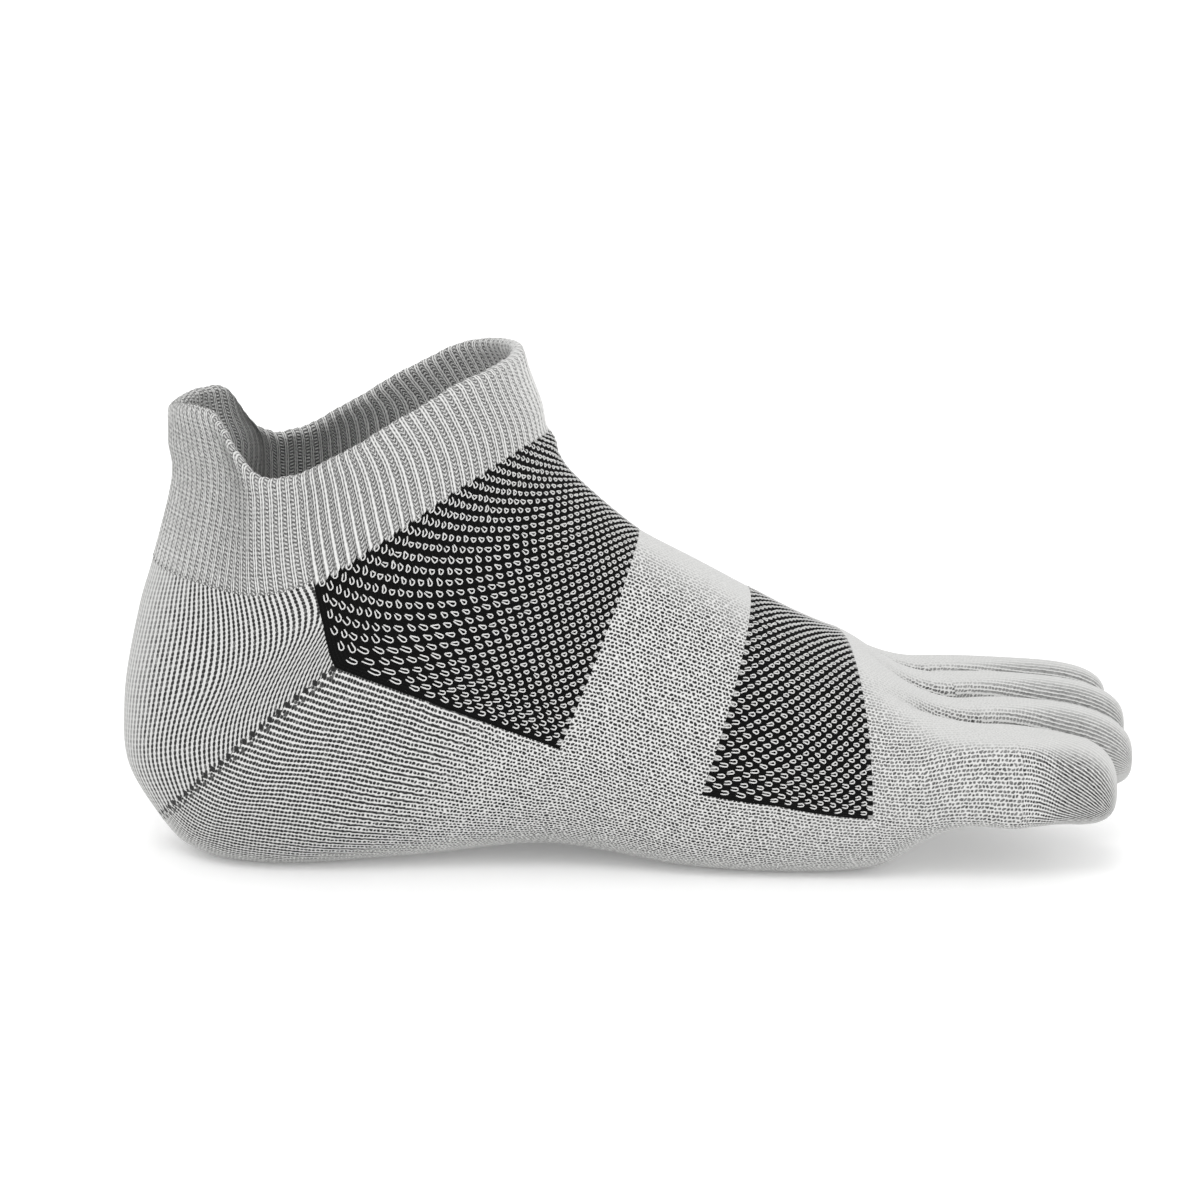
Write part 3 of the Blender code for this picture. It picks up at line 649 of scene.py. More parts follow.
# A row of holes along a seam: its distance from the seam in millimetres, its shift along it in holes, how far
# a hole reaches to both sides, how narrow it is and how dark.
SeamHole = namedtuple("SeamHole", "aside along reach narrow depth")
GORE_HOLES = (SeamHole(0.0, 0.0, 1.05, 1.8, 1.0), SeamHole(1.5, 0.42, 0.7, 2.4, 0.9))
CUFF_HOLES = SeamHole(0.0, 0.0, 0.35, 1.5, 0.8)
WOBBLE_SCALE = 0.75     # unevenness of the holes, in waves a stitch
COURSE_WOBBLE = 1.8     # how much more uneven they are along the wales
DOTS_JOINED = 0.28      # how far the dots of a dotted line run together
LINES_JOINED = 0.40     # and how much further those of a closed line
LINE_POWER = 8.0        # narrowness of the lines between the rows
HOLE_EDGE = (0.08, 0.50)
# The faint ridges under the arch: how many a course, and how dark the painted shade in their troughs is.
RIDGE_COURSES = 0.56    # ridges a course
RIDGE_SHADE = 0.22      # how dark they are
JERSEY_DEPTH = 0.0005   # height of the yarn over its holes


def jersey(name):
    """Plain knit. Rows of pinholes lie at whole wales, one hole a course. Attribute lined is 0 where they
    are staggered like a lattice, 1 where they line up into dotted lines along the wale and 2 where those run
    together. Attribute flank is 1 where the knit is drawn open, and ridged where it lies in faint ridges,
    whose troughs are darkened as painted shade."""
    yarn, shadow, _ = colours()
    knit = KNITS[name]
    n = Nodes(name)
    vector, u, course = n.uv()
    lined, flank, ridged = (n.attribute(key) for key in ("lined", "flank", "ridged"))
    aligned_share = n.smaller(lined, 1.0)
    jitter = n.add("ShaderNodeSeparateColor")
    n.plug(n.noise(vector, WOBBLE_SCALE, 1.0, colour=True), jitter.inputs[0])
    amount = n.times_plus(aligned_share, -0.55 * knit.wobble, knit.wobble)
    u = n.times_plus(n.less(jitter.outputs[0], 0.5), amount, u)
    v = n.times_plus(n.less(jitter.outputs[1], 0.5), n.times(amount, COURSE_WOBBLE), course)
    rows = n.wave(u)
    flip = n.math("COSINE", n.times(u, math.pi))
    beat = n.math("COSINE", n.times(v, 2 * math.pi))
    staggered = n.times_plus(n.times(beat, flip), 0.5, 0.5)
    aligned = n.times_plus(beat, 0.5, 0.5)
    dots = n.mix(aligned_share, staggered, aligned)
    joined = n.times_plus(n.soft_step(lined, 1.0, 2.0), LINES_JOINED, n.times(aligned_share, DOTS_JOINED))
    dots = n.mix(joined, dots, 1.0)
    hole = n.times(n.power(rows, knit.narrow), dots)
    between_rows = n.power(n.less(1.0, rows), LINE_POWER)
    hole = n.larger(hole, n.times(between_rows, knit.solid_lines))
    patchy = n.times_plus(n.noise(vector, 0.7, 2.0), 1.1, 0.5)
    open_knit = n.times_plus(flank, 1 - knit.least, knit.least)
    dark = n.times(n.times(n.soft_step(hole, *HOLE_EDGE), patchy), open_knit)
    # painted shade: the troughs between the faint ridges under the arch are darkened
    ridges = n.times(n.wave(n.times(course, RIDGE_COURSES)), ridged)
    dark = n.times_plus(ridges, RIDGE_SHADE, dark)
    for row in GORE_HOLES if knit.marks else ():
        dark = seam_holes(n, dark, row)
    fuzz, light = n.fuzzy(yarn, 0.88, 1.12)
    light = n.colours(n.times(flank, 0.6), light, scaled(yarn, 1.3))
    colour = n.colours(n.smaller(dark, 1.0), light, shadow)
    return n.finish(colour, n.less(n.times(fuzz, 0.25), dark), JERSEY_DEPTH)


def seam_holes(n, dark, row):
    """Darkens a row of holes along a seam, from attributes seam_gap, the distance to the seam in millimetres,
    and seam_run, the distance along it in holes. Each hole tapers towards its ends."""
    gap = n.less(n.attribute("seam_gap"), row.aside)
    taper = n.power(n.wave(n.plus(n.attribute("seam_run"), row.along)), row.narrow)
    inside = n.less(taper, n.math("DIVIDE", n.math("ABSOLUTE", gap), row.reach))
    return n.larger(dark, n.times(n.soft_step(inside, 0.0, 0.3), row.depth))


# Painted shade over a rib's width: the darkness of the grooves and of the ladder.
RIB_GROOVE_SHADE = [
    (0.0, 0.8), (0.07, 0.0), (0.17, 0.0), (0.25, 0.85), (0.33, 0.0),
    (0.43, 0.0), (0.51, 1.0), (0.60, 0.1), (0.90, 0.1), (0.97, 1.0),
]
RIB_LADDER = [(0.0, 0.0), (0.52, 0.0), (0.60, 1.0), (0.90, 1.0), (0.96, 0.0)]
RUNG_SLANT = 1.3        # courses that a rung rises over a rib's width
# how dark the painted shade across the ladder is
RUNG_SHADE = 0.85
RIB_DEPTH = 0.0004      # height of the ribs' yarn over its grooves


def ribbing(name):
    """Rib knit: two bright wales with a groove between them, then a recessed ladder of thin rungs. The
    groove, and the ladder in slanted lines, are darkened as painted shade.
    """
    yarn, shadow, _ = colours()
    n = Nodes(name)
    vector, u, v = n.uv()
    jitter = n.less(n.noise(vector, 0.8, 1.0), 0.5)
    place = n.math("FRACT", n.times_plus(jitter, 0.12, u))
    groove, ladder = n.curve(place, RIB_GROOVE_SHADE), n.curve(place, RIB_LADDER)
    rungs = n.times(n.wave(n.times_plus(place, RUNG_SLANT, v)), ladder)
    patchy = n.times_plus(n.noise(vector, 2.4, 2.0), 1.1, 0.45)
    dotted = n.times_plus(n.wave(n.times(v, 0.8)), 0.55, 0.5)
    # painted shade in the grooves, and across the ladder in slanted lines
    dark = n.times(n.times(groove, dotted), patchy)
    dark = n.larger(dark, n.times(n.times(rungs, RUNG_SHADE), patchy))
    dark = n.times(dark, n.times_plus(n.attribute("flank"), 0.75, 0.25))
    dark = seam_holes(n, dark, CUFF_HOLES)
    fuzz, light = n.fuzzy(yarn, 1.08, 1.36)
    colour = n.colours(n.smaller(dark, 1.0), light, shadow)
    return n.finish(colour, n.less(n.times(fuzz, 0.2), dark), RIB_DEPTH)


MARGIN = 0.75           # cells of plain ground between the loops and a panel's side edge
TOOTH_EDGE = (-0.15, 0.2)   # swing over which a tooth's edge turns from dark to light
GROUND_DEPTH = 0.0003


def ground(name, rows, columns):
    """Black ground of the mesh panels: fine wales with a low sheen, and painted light and shade: lighter
    on the raised yarn, darker in the hollows. In the first and the last course every second cell is light,
    so that the panel's ends are toothed."""
    yarn, _, black = colours()
    n = Nodes(name)
    _, u, v = n.uv()
    cell = n.times_plus(u, 1 / (1 - 2 * MARGIN / columns), columns / 2)
    swing = n.math("SINE", n.times(cell, math.pi))
    first = n.times(n.soft_step(swing, *TOOTH_EDGE), n.less(1.0, n.soft_step(v, 0.5, 0.8)))
    swing = n.times(swing, 1 if rows % 2 else -1)
    last = n.times(n.soft_step(swing, *TOOTH_EDGE), n.soft_step(v, rows - 0.9, rows - 0.6))
    wales, courses = n.wave(n.times(u, 2.0)), n.wave(n.times(v, 3.0))
    relief = n.times(wales, n.times_plus(courses, 0.5, 0.5))
    # painted light and shade: the raised yarn of the wales lighter, the hollows between them darker
    colour = n.colours(relief, scaled(black, 0.6), scaled(black, 1.5))
    colour = n.colours(n.larger(first, last), colour, scaled(yarn, 0.8))
    return n.finish(colour, relief, GROUND_DEPTH, sheen=0.02, specular=0.1)


TWIST_DEPTH = 0.00008


def loop_yarn(name):
    """Light yarn of the mesh panels' loops, with its twist as fine slanted lines of painted shade."""
    yarn = scaled(colours()[0], 1.33)
    n = Nodes(name)
    _, u, v = n.uv()
    twist = n.wave(n.times_plus(v, 9.0, n.times(u, 2.0)))
    _, light = n.fuzzy(yarn, 0.85, 1.12)
    # painted shade along the twist's fine slanted lines
    colour = n.colours(n.times(twist, 0.25), light, scaled(yarn, 0.5))
    return n.finish(colour, twist, TWIST_DEPTH)


# Pieces.

KNIT_WALL = 0.0015
MESH_WALL = 0.0012
CUFF_WALL = 0.0022


class KnitSizes(bpy.types.PropertyGroup):
    """Counts and sizes of the knit"""
    rib_count: bpy.props.IntProperty(
        name="Ribs", description="Ribs round the cuff", default=108, min=20, max=300)
    rib_height: bpy.props.FloatProperty(
        name="Rib height", description="Height of a rib over its ladder", default=0.0004, unit="LENGTH",
        precision=5)
    rim_swell: bpy.props.FloatProperty(
        name="Rim swell", description="How far the cuff's folded rim swells", default=0.0005, unit="LENGTH",
        precision=5)
    heel_wale: bpy.props.FloatProperty(
        name="Heel wale", description="Distance between the dotted lines of the heel", default=0.0017,
        unit="LENGTH", precision=5)
    heel_course: bpy.props.FloatProperty(
        name="Heel course", description="Distance between the dots of a line of the heel", default=0.0013,
        unit="LENGTH", precision=5)
    loop_columns: bpy.props.IntProperty(
        name="Loop columns", description="Cells across a mesh panel", default=88)
    instep_courses: bpy.props.IntProperty(
        name="Instep courses", description="Cells along the instep panel", default=41)
    forefoot_courses: bpy.props.IntProperty(
        name="Forefoot courses", description="Cells along the forefoot panel", default=24)
    loop_yarn: bpy.props.FloatProperty(
        name="Loop yarn", description="Radius of the yarn in the mesh panels' loops", default=0.00018,
        unit="LENGTH", precision=5)


class KnitColours(bpy.types.PropertyGroup):
    """Colours of the yarns"""
    yarn: bpy.props.FloatVectorProperty(
        name="Light yarn", description="Colour of the light yarn", subtype="COLOR",
        default=(0.575, 0.575, 0.566))
    shadow: bpy.props.FloatVectorProperty(
        name="Between the yarns", description="Colour seen between the light yarns", subtype="COLOR",
        default=(0.016, 0.016, 0.016))
    black: bpy.props.FloatVectorProperty(
        name="Black yarn", description="Colour of the mesh panels' ground", subtype="COLOR",
        default=(0.0035, 0.0035, 0.0035))


def sizes():
    """The counts and sizes set in the panel."""
    return bpy.context.scene.toe_sock_sizes


def colours():
    """The light yarn's, the gaps' and the black yarn's colours."""
    group = bpy.context.scene.toe_sock_colours
    return tuple(group.yarn), tuple(group.shadow), tuple(group.black)


def settle(piece, node):
    """The piece stands for its solid node: it hangs from the root body, and the node is hidden."""
    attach(piece, "root")
    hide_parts(node)


def rib_profile(place):
    """Height of the rib knit over a rib's width: two round wales, a groove between them and a low ladder."""
    stops = [0.0, 0.04, 0.12, 0.20, 0.26, 0.32, 0.40, 0.48, 0.54, 0.62, 0.76, 0.90, 0.97, 1.0]
    heights = [0.10, 0.55, 1.0, 0.80, 0.25, 0.80, 1.0, 0.55, -0.1, 0.35, 0.50, 0.35, -0.1, 0.10]
    return np.interp(place % 1.0, stops, heights)


RIB_COLUMNS = 12
CUFF_ROWS = 34
RIM_ROWS = 8
LINING_ROWS = 12
RIB_ROUNDING = 9        # rows over which the bends of the ribs are evened out
RIB_SPREAD = 0.9        # power of the height by which the ribs move from their turns on the seam to the rim's
PANEL_CORNER = 0.545    # turn at which the cuff's seam passes the instep panel's corner
SCALLOP = 0.004         # stations by which the wales reach down over the panel's ground
RIM_UNEVEN = 0.0014     # stations by which the rim rises over the ribs
RIM_WAVES = (41, 17)    # how many of the two slower waves lie round the rim
SWELL_DROP = 0.0032     # distance below the rim over which its swelling fades
FLAT_DROP = 0.0015      # distance below the rim over which the ribs flatten
RIB_SINK = 0.0002       # depth under the skin at which the ribs start
RUNG_PITCH = 0.00098    # distance between the ladders' rungs


def rim_turns(seam_turns):
    """Turns at which the ribs end on the rim, a little further back than where they start on the seam."""
    return np.sign(seam_turns) * smooth(RIB_LINES, "seam", "rim", np.abs(seam_turns))


def build_cuff():
    """Ribbed cuff: up its outside from the seam, over a swollen rim and down its lining, as a closed ring."""
    s = sizes()
    count = s.rib_count * RIB_COLUMNS + 1
    seam_turns = np.linspace(-1, 1, count)
    top_turns = rim_turns(seam_turns)
    share = np.linspace(0, 1, CUFF_ROWS)[:, None]
    turns = seam_turns + (top_turns - seam_turns) * share**RIB_SPREAD
    place = np.linspace(0, s.rib_count, count)
    over_panel = ease((PANEL_CORNER - np.abs(seam_turns)) / 0.01)
    seam = CUFF_END + edge_dip("seam", seam_turns)
    seam = seam + over_panel * SCALLOP * (0.5 - 0.5 * np.cos(place * 4 * math.pi))
    phase = 2 * math.pi * place
    uneven = 0.5 * np.cos(phase) + 0.4 * np.sin(phase * RIM_WAVES[0] / s.rib_count)
    uneven += 0.5 * np.sin(phase * RIM_WAVES[1] / s.rib_count + 1)
    rim = edge_dip("rim", top_turns) + RIM_UNEVEN * uneven
    stations, turns = rounded(seam + (rim - seam) * share, turns, RIB_ROUNDING)
    rib = rib_profile(place)[None, :] * s.rib_height
    rise = SKIN.length(stations, turns)
    below_rim = np.abs(rise - rise[-1])
    swell = s.rim_swell * np.exp(-((below_rim / SWELL_DROP) ** 2)) * (1 + 0.3 * uneven)
    lift = rib * (1 - 0.45 * np.exp(-((below_rim / FLAT_DROP) ** 2))) - RIB_SINK + swell
    outside = SKIN.at(stations, turns, lift)
    half = (CUFF_WALL + s.rim_swell * 2) / 2
    normal = unit(SKIN.read(SKIN.normals, stations[-1], turns[-1]))
    upward = outside[-1] - outside[-2]
    upward = unit(upward - (upward * normal).sum(axis=1, keepdims=True) * normal)
    centre = outside[-1] - normal * half
    angle = np.linspace(0, math.pi, RIM_ROWS + 2)[1:-1, None, None]
    over = centre + half * (np.cos(angle) * normal + np.sin(angle) * upward)
    inside_rows = np.linspace(1, 0, LINING_ROWS)[:, None]
    lining_turns = seam_turns + (top_turns - seam_turns) * inside_rows**RIB_SPREAD
    lining_stations = seam + (rim - seam) * inside_rows
    fall = np.abs(SKIN.length(lining_stations, lining_turns) - rise[-1])
    depth = CUFF_WALL + 0.5 * rib + s.rim_swell * np.exp(-((fall / SWELL_DROP) ** 2))
    lining = SKIN.at(lining_stations, lining_turns, -depth)
    points = np.concatenate([outside, over, lining, outside[:1]])
    lengths = np.linalg.norm(np.diff(points, axis=0), axis=2)
    v = np.concatenate([np.zeros((1, count)), np.cumsum(lengths, axis=0)])
    uvs = np.stack([np.broadcast_to(place, v.shape), v / RUNG_PITCH], axis=2)
    open_knit = 0.65 + 0.35 * SKIN.flank(seam, seam_turns)
    floats = {"seam_gap": v * 1000 - 0.5 + 9 * over_panel, "seam_run": np.broadcast_to(place * 2, v.shape),
              "flank": np.broadcast_to(open_knit, v.shape)}
    floats = {key: values[:, ::-1] for key, values in floats.items()}
    piece = put_grid("ribbed_cuff", points[:, ::-1], uvs[:, ::-1], ribbing("ribbed_cuff"), True, True, floats)
    settle(piece, "cuff")


def foot_wale(shares):
    """Number of the wale at a column share."""
    size = np.abs(shares)
    return np.sign(shares) * (np.minimum(size, 1) * FOOT_WALES[0] + np.maximum(size - 1, 0) * FOOT_WALES[1])


def foot_course(stations, turns):
    """Number of the course, counted from the middle of the foot."""
    return SKIN.course(stations, turns) - SKIN.course(np.full(np.shape(stations), MIDDLE_STATION), turns)


ROW_BEND = 0.32         # how far, in shares, the wales of the foot are moved at the gore line
BEND_END = 0.42         # station at which they aren't moved any more
BEND_POWER = 2.2


def foot_knit(stations, shares, turns):
    """Wales and courses of the foot. Below the panels the wales leave the gore line nearly level, then bend
    to follow the panels' side: their share, v past 1, is less by the bend times v (1 less v cubed) there."""
    past = np.clip(np.abs(shares) - 1, 0, 1)
    gore = GORE + edge_dip("gore", turns)
    left = np.clip(1 - (stations - gore) / (BEND_END - gore), 0, 1) ** BEND_POWER
    size = np.abs(shares) - ROW_BEND * past * (1 - past**3) * left
    return np.stack([foot_wale(np.sign(shares) * size), foot_course(stations, turns)], axis=-1)


BULGE = 0.2             # share by which the heel's wales are further from the back half way down
BULGE_HEIGHT = 0.04     # height of the pocket, in metres, at which they bulge that far
LEAN = 0.06             # share by which they are nearer to it at the gore line
LEAN_REACH = 14         # millimetres above the gore line over which they lean


def heel_knit(stations, shares, turns):
    """Wales and courses of the heel pocket. The wales keep their distance from the middle of the back, but
    bulge away from it half way down by a half sine, and lean towards it near the gore line. The courses are
    counted along lines that keep that distance."""
    rows, strands = np.linspace(0.18, 0.34, 81), np.linspace(0, 0.095, 48)
    grid_stations = np.tile(rows[:, None], (1, len(strands)))
    halves = np.interp(rows, SKIN.stations, SKIN.halves)[:, None]
    points = SKIN.at(grid_stations, 1 - strands / halves)
    run = SKIN.sums(np.linalg.norm(np.diff(points, axis=0), axis=2))
    distance = (1 - np.abs(turns)) * np.interp(stations, SKIN.stations, SKIN.halves)
    along = read(run, (stations - rows[0]) / (rows[-1] - rows[0]) * (len(rows) - 1),
                 distance / strands[-1] * (len(strands) - 1))
    s = sizes()
    seam, gore = CUFF_END + edge_dip("seam", turns), GORE + edge_dip("gore", turns)
    down = np.clip((stations - seam) / (gore - seam), 0, 1)
    height = SKIN.length(gore, turns) - SKIN.length(seam, turns)
    closeness = 1 - BULGE * np.clip(height / BULGE_HEIGHT, 0, 1) * np.sin(math.pi * down)
    closeness += LEAN * np.exp(np.minimum(gore_marks(stations, turns)["seam_gap"], 0) / LEAN_REACH)
    return np.stack([np.sign(turns) * distance * closeness / s.heel_wale, along / s.heel_course], axis=-1)


RIDGES_AT = 0.61        # station of the middle of the faint ridges under the arch
FOREFOOT_CLOSED = 0.28  # share by which the forefoot's knit is less open than the rest


def fabric(name, node, stations, shares, knit, lined, kept=None, wraps=False):
    """A wall of plain knit over a grid of stations and column shares."""
    turns = column_turns(stations, shares)
    outer, inner = SKIN.at(stations, turns), SKIN.at(stations, turns, -KNIT_WALL)
    ridged = ease((0.11 - np.abs(stations - RIDGES_AT)) / 0.05) * ease((np.abs(turns) - 0.72) / 0.12)
    flank = SKIN.flank(stations, turns) * (1 - FOREFOOT_CLOSED * ease((stations - 0.65) / 0.2))
    floats = {"lined": lined(stations), "ridged": ridged, "flank": flank, **gore_marks(stations, turns)}
    piece = put_shell(name, outer, inner, knit(stations, shares, turns), jersey(name), kept, wraps, floats)
    settle(piece, node)


def between(start, end, count):
    """Rows of stations that run evenly from one line round the foot to another."""
    return start + (end - start) * np.linspace(0, 1, count + 1)[:, None]


TOP_COLUMNS = 70
SOLE_COLUMNS = 60
PANEL_SHARES = np.linspace(-1, 1, 2 * TOP_COLUMNS + 1)
SIDE_SHARES = np.linspace(1, 2, SOLE_COLUMNS + 1)
UNDER_SHARES = np.concatenate([SIDE_SHARES, -SIDE_SHARES[::-1][1:]])
ROUND_SHARES = np.concatenate([-SIDE_SHARES[::-1], PANEL_SHARES[1:-1], SIDE_SHARES])


GORE_HOLE_COUNT = 57    # holes of the gore line on one side


def gore_marks(stations, turns):
    """Distance from the gore line and along it, for its row of holes."""
    line = GORE + edge_dip("gore", turns)
    gap = (SKIN.length(stations, turns) - SKIN.length(line, turns)) * 1000
    return {"seam_gap": gap, "seam_run": np.abs(turns) * GORE_HOLE_COUNT}


HEEL_ROWS = 50
HEEL_LINED = 1.3        # the heel's dotted lines, slightly closed
FOOT_ROWS = (60, 44, 40, 44)    # under the instep panel, at the band, under the forefoot panel and beyond


def build_heel():
    """Heel pocket, from the cuff's seam to the gore line."""
    stations = between(seam_station(UNDER_SHARES), gore_station(UNDER_SHARES), HEEL_ROWS)
    shares = np.tile(UNDER_SHARES, (len(stations), 1))
    fabric("heel_knit", "heel_pocket", stations, shares, heel_knit, lambda at: np.full(at.shape, HEEL_LINED))


def foot_lines(stations):
    """Dotted lines near the heel, and a lattice of pinholes from there to the toes."""
    heel = 1 - ease((stations - 0.36) / 0.14)
    return heel * 0.9 + 0.05


def build_foot():
    """Sole, sides, the band between the panels and the forefoot, as one tube with two windows."""
    gore = gore_station(ROUND_SHARES)
    ends = (INSTEP_MESH_END, FOREFOOT_MESH_START, FOREFOOT_MESH_END, WEBS)
    lines = [gore] + [np.full(gore.shape, end) for end in ends]
    spans = [between(start, end, count)[1:] for start, end, count in zip(lines, lines[1:], FOOT_ROWS)]
    stations = np.vstack([gore[None, :]] + spans)
    shares = np.tile(ROUND_SHARES, (len(stations), 1))
    kept = np.ones((len(stations) - 1, len(ROUND_SHARES) - 1), bool)
    over = slice(SOLE_COLUMNS, SOLE_COLUMNS + 2 * TOP_COLUMNS)
    kept[: FOOT_ROWS[0], over] = False
    kept[sum(FOOT_ROWS[:2]) : sum(FOOT_ROWS[:3]), over] = False
    fabric("foot_knit", "foot_body", stations, shares, foot_knit, foot_lines, kept, True)


LOOP_STEPS = 9
LOOP_SIDES = 5
CORNER_ROWS = 24        # grid rows of the instep panel above the gore line
PANEL_ROWS = 44         # and below it
FOREFOOT_ROWS = 36
GROUND_SINK = 0.00022   # depth of the black ground under the skin
SIDE_KEPT = 0.6         # share of its place that a wale keeps at the panel's side
WALE_ROUNDING = 3.5     # courses over which the bends of a panel's wales are evened out
LOOP_HALF = 0.31        # half a loop's width, in cells
LOOP_BOTTOM = 0.46      # distance of a loop's round end from its cell's middle
LOOP_ROUND = 0.28       # height of the round end
LOOP_LEG = 0.60         # length of its legs
LOOP_RISE = 0.00004     # height of the yarn's middle over the skin
LOOP_DIVE = 0.00040     # how far the legs' ends go down into the ground


class Lattice:
    """Courses and wales of a mesh panel: the courses lie evenly along every wale."""

    def __init__(self, start, end, rounding):
        self.shares = np.linspace(-1, 1, 161)
        samples = np.linspace(0, 1, 241)
        shares = np.tile(self.shares, (len(samples), 1))
        stations = start(shares) + (end - start(shares)) * samples[:, None]
        lengths = SKIN.length(stations, column_turns(stations, shares))
        lengths = (lengths - lengths[0]) / (lengths[-1] - lengths[0])
        even = np.linspace(0, 1, 201)
        sample = np.stack([np.interp(even, line, samples) for line in lengths.T], axis=1)
        shares = np.tile(self.shares, (len(even), 1))
        stations = start(shares) + (end - start(shares)) * sample
        turns = column_turns(stations, shares)
        self.stations, self.turns = rounded(stations, turns, rounding, SIDE_KEPT * shares**6)

    def at(self, courses, shares):
        """Stations and turns at shares of the way along the wales, carried on straight past their ends."""
        c = (np.clip(shares, -1, 1) + 1) / 2 * (len(self.shares) - 1)
        r = courses * (len(self.stations) - 1)
        return read(self.stations, r, c), read(self.turns, r, c)


def forefoot_start(shares):
    """Station of the forefoot panel's first course at a column share."""
    return np.full(np.shape(shares), FOREFOOT_MESH_START)


def build_panel(name, start, middle, end, rows, columns, seed):
    """Two-colour mesh: a black ground with light loops on every second cell of a slanted chequer."""
    first, last = start(PANEL_SHARES), np.full(PANEL_SHARES.shape, end)
    if middle is None:
        stations = between(first, last, FOREFOOT_ROWS)
    else:
        border = middle(PANEL_SHARES)
        stations = np.vstack([between(first, border, CORNER_ROWS), between(border, last, PANEL_ROWS)[1:]])
    shares = np.tile(PANEL_SHARES, (len(stations), 1))
    turns = column_turns(stations, shares)
    outer, inner = SKIN.at(stations, turns, -GROUND_SINK), SKIN.at(stations, turns, -MESH_WALL)
    lengths = SKIN.length(stations, turns)
    lengths = (lengths - lengths[0]) / (lengths[-1] - lengths[0])
    uvs = np.stack([shares * columns / 2, lengths * rows], axis=2)
    material = ground(name + "_ground", rows, columns)
    piece = put_shell(name + "_ground", outer, inner, uvs, material)
    settle(piece, name)

    rng = np.random.default_rng(seed)
    lattice = Lattice(start, end, round(WALE_ROUNDING / rows * 200))
    i, j = np.meshgrid(np.arange(rows), np.arange(columns), indexing="ij")
    pick = ((i + j) % 2 == 0)
    i, j = i[pick][:, None], j[pick][:, None]
    count = len(i)
    angle = np.linspace(-1, 1, LOOP_STEPS)[None, :]
    bend = np.clip(np.abs(angle) / 0.5, 0, 1) * math.pi / 2
    leg = np.clip((np.abs(angle) - 0.5) / 0.5, 0, 1)
    side = np.abs((j + 0.5) / columns * 2 - 1)
    width = (LOOP_HALF + rng.uniform(-0.03, 0.04, (count, 1))) * (0.84 + 0.16 * ease(side / 0.6))
    loose = np.maximum(ease((side - 0.80) / 0.12), ease((4 - i) / 3))
    pinch = 1 - leg * (rng.uniform(0.55, 1.0, (count, 1)) - 0.55 * loose)
    lean = rng.normal(0, 0.13, (count, 1)) + 0.12 * np.sign(j + 0.5 - columns / 2)
    a = np.sign(angle) * np.sin(bend) * width * pinch + leg * lean + rng.normal(0, 0.02, (count, 1))
    b = -LOOP_BOTTOM + LOOP_ROUND * (1 - np.cos(bend))
    b = b + leg * (LOOP_LEG + rng.uniform(-0.08, 0.20, (count, 1)))
    height = LOOP_RISE - LOOP_DIVE * leg**4
    share = ((j + 0.5 + a) / columns * 2 - 1) * (1 - 2 * MARGIN / columns)
    station, turn = lattice.at((i + 0.5 - b) / rows, share)
    paths = SKIN.at(station, turn, height)
    ups = unit(SKIN.read(SKIN.normals, station, turn))
    material = loop_yarn(name + "_loops")
    piece = put_tubes(name + "_loops", paths, ups, sizes().loop_yarn, LOOP_SIDES, material, flatten=0.8)
    settle(piece, name)


def toe_surface(index, along, around):
    """Skin of a toe pocket: superellipse sections whose corners round off and whose tip closes."""
    toe = TOES[index]
    roots = [FIRST_WEB] + [other.web for other in TOES]
    tips = [FIRST_TIP_WEB] + [other.tip_web for other in TOES]

    def side(number, x):
        root, tip = roots[number] * BALL_WIDTH, tips[number] * BALL_WIDTH
        start = root_x(root)
        return root + (tip - root) * (x - start) / (LENGTH - start)

    start = root_x((roots[index] + roots[index + 1]) / 2 * BALL_WIDTH)
    taper = np.clip((along - TAPER_FROM) / (1 - TAPER_FROM), 0, 1)
    closing = superellipse(taper, toe.blunt)
    power = ROOT_SQUARENESS + (TIP_SQUARENESS - ROOT_SQUARENESS) * ease(along / ROUND_FROM)
    aside = np.sign(np.sin(around)) * np.abs(np.sin(around)) ** (2 / power) * closing
    lift = np.sign(np.cos(around)) * np.abs(np.cos(around)) ** (2 / power) * closing
    x = start + (toe.tip_x * LENGTH - start) * along
    half = (side(index + 1, x) - side(index, x)) / 2
    x = x + SECTIONS[-1].sweep * (1 - along) ** 2 * aside * half
    inner, outer = side(index, x), side(index + 1, x)
    y = (inner + outer) / 2 + (outer - inner) / 2 * aside
    weights = ((1 - along) * (1 - 2 * along), 4 * along * (1 - along), along * (2 * along - 1))
    tops = (toe.root_top, toe.knuckle_top, toe.tip_top)
    bottoms = (toe.root_bottom, toe.knuckle_bottom, toe.tip_bottom)
    top = sum(weight * height for weight, height in zip(weights, tops))
    bottom = sum(weight * height for weight, height in zip(weights, bottoms))
    z = ((top + bottom) / 2 + (top - bottom) / 2 * lift) * HEIGHT
    return np.stack([x, y, z], axis=-1) - ORIGIN


TOE_COLUMNS = 120
TOE_ROWS = 30
TIP_ROWS = 50
# Where a toe's wales gather on its tip: the angle round the toe, and the share of the way out from the
# tip's middle.
Gather = namedtuple("Gather", "angle reach")
GATHERS = [Gather(3.22, 0.38), Gather(3.4, 0.14), Gather(3.3, 0.12), Gather(3.2, 0.10), Gather(3.0, 0.10)]
UNGATHERED = 0.12       # share of a toe's length along which its wales run straight
CLOSED_PITCH = 0.0003   # distance between wales at which their gaps close
OPEN_PITCH = 0.0008     # and at which they are fully open
TOE_OPEN = (0.82, 0.5)  # how open the knit is at the sides of the big toe and of the others


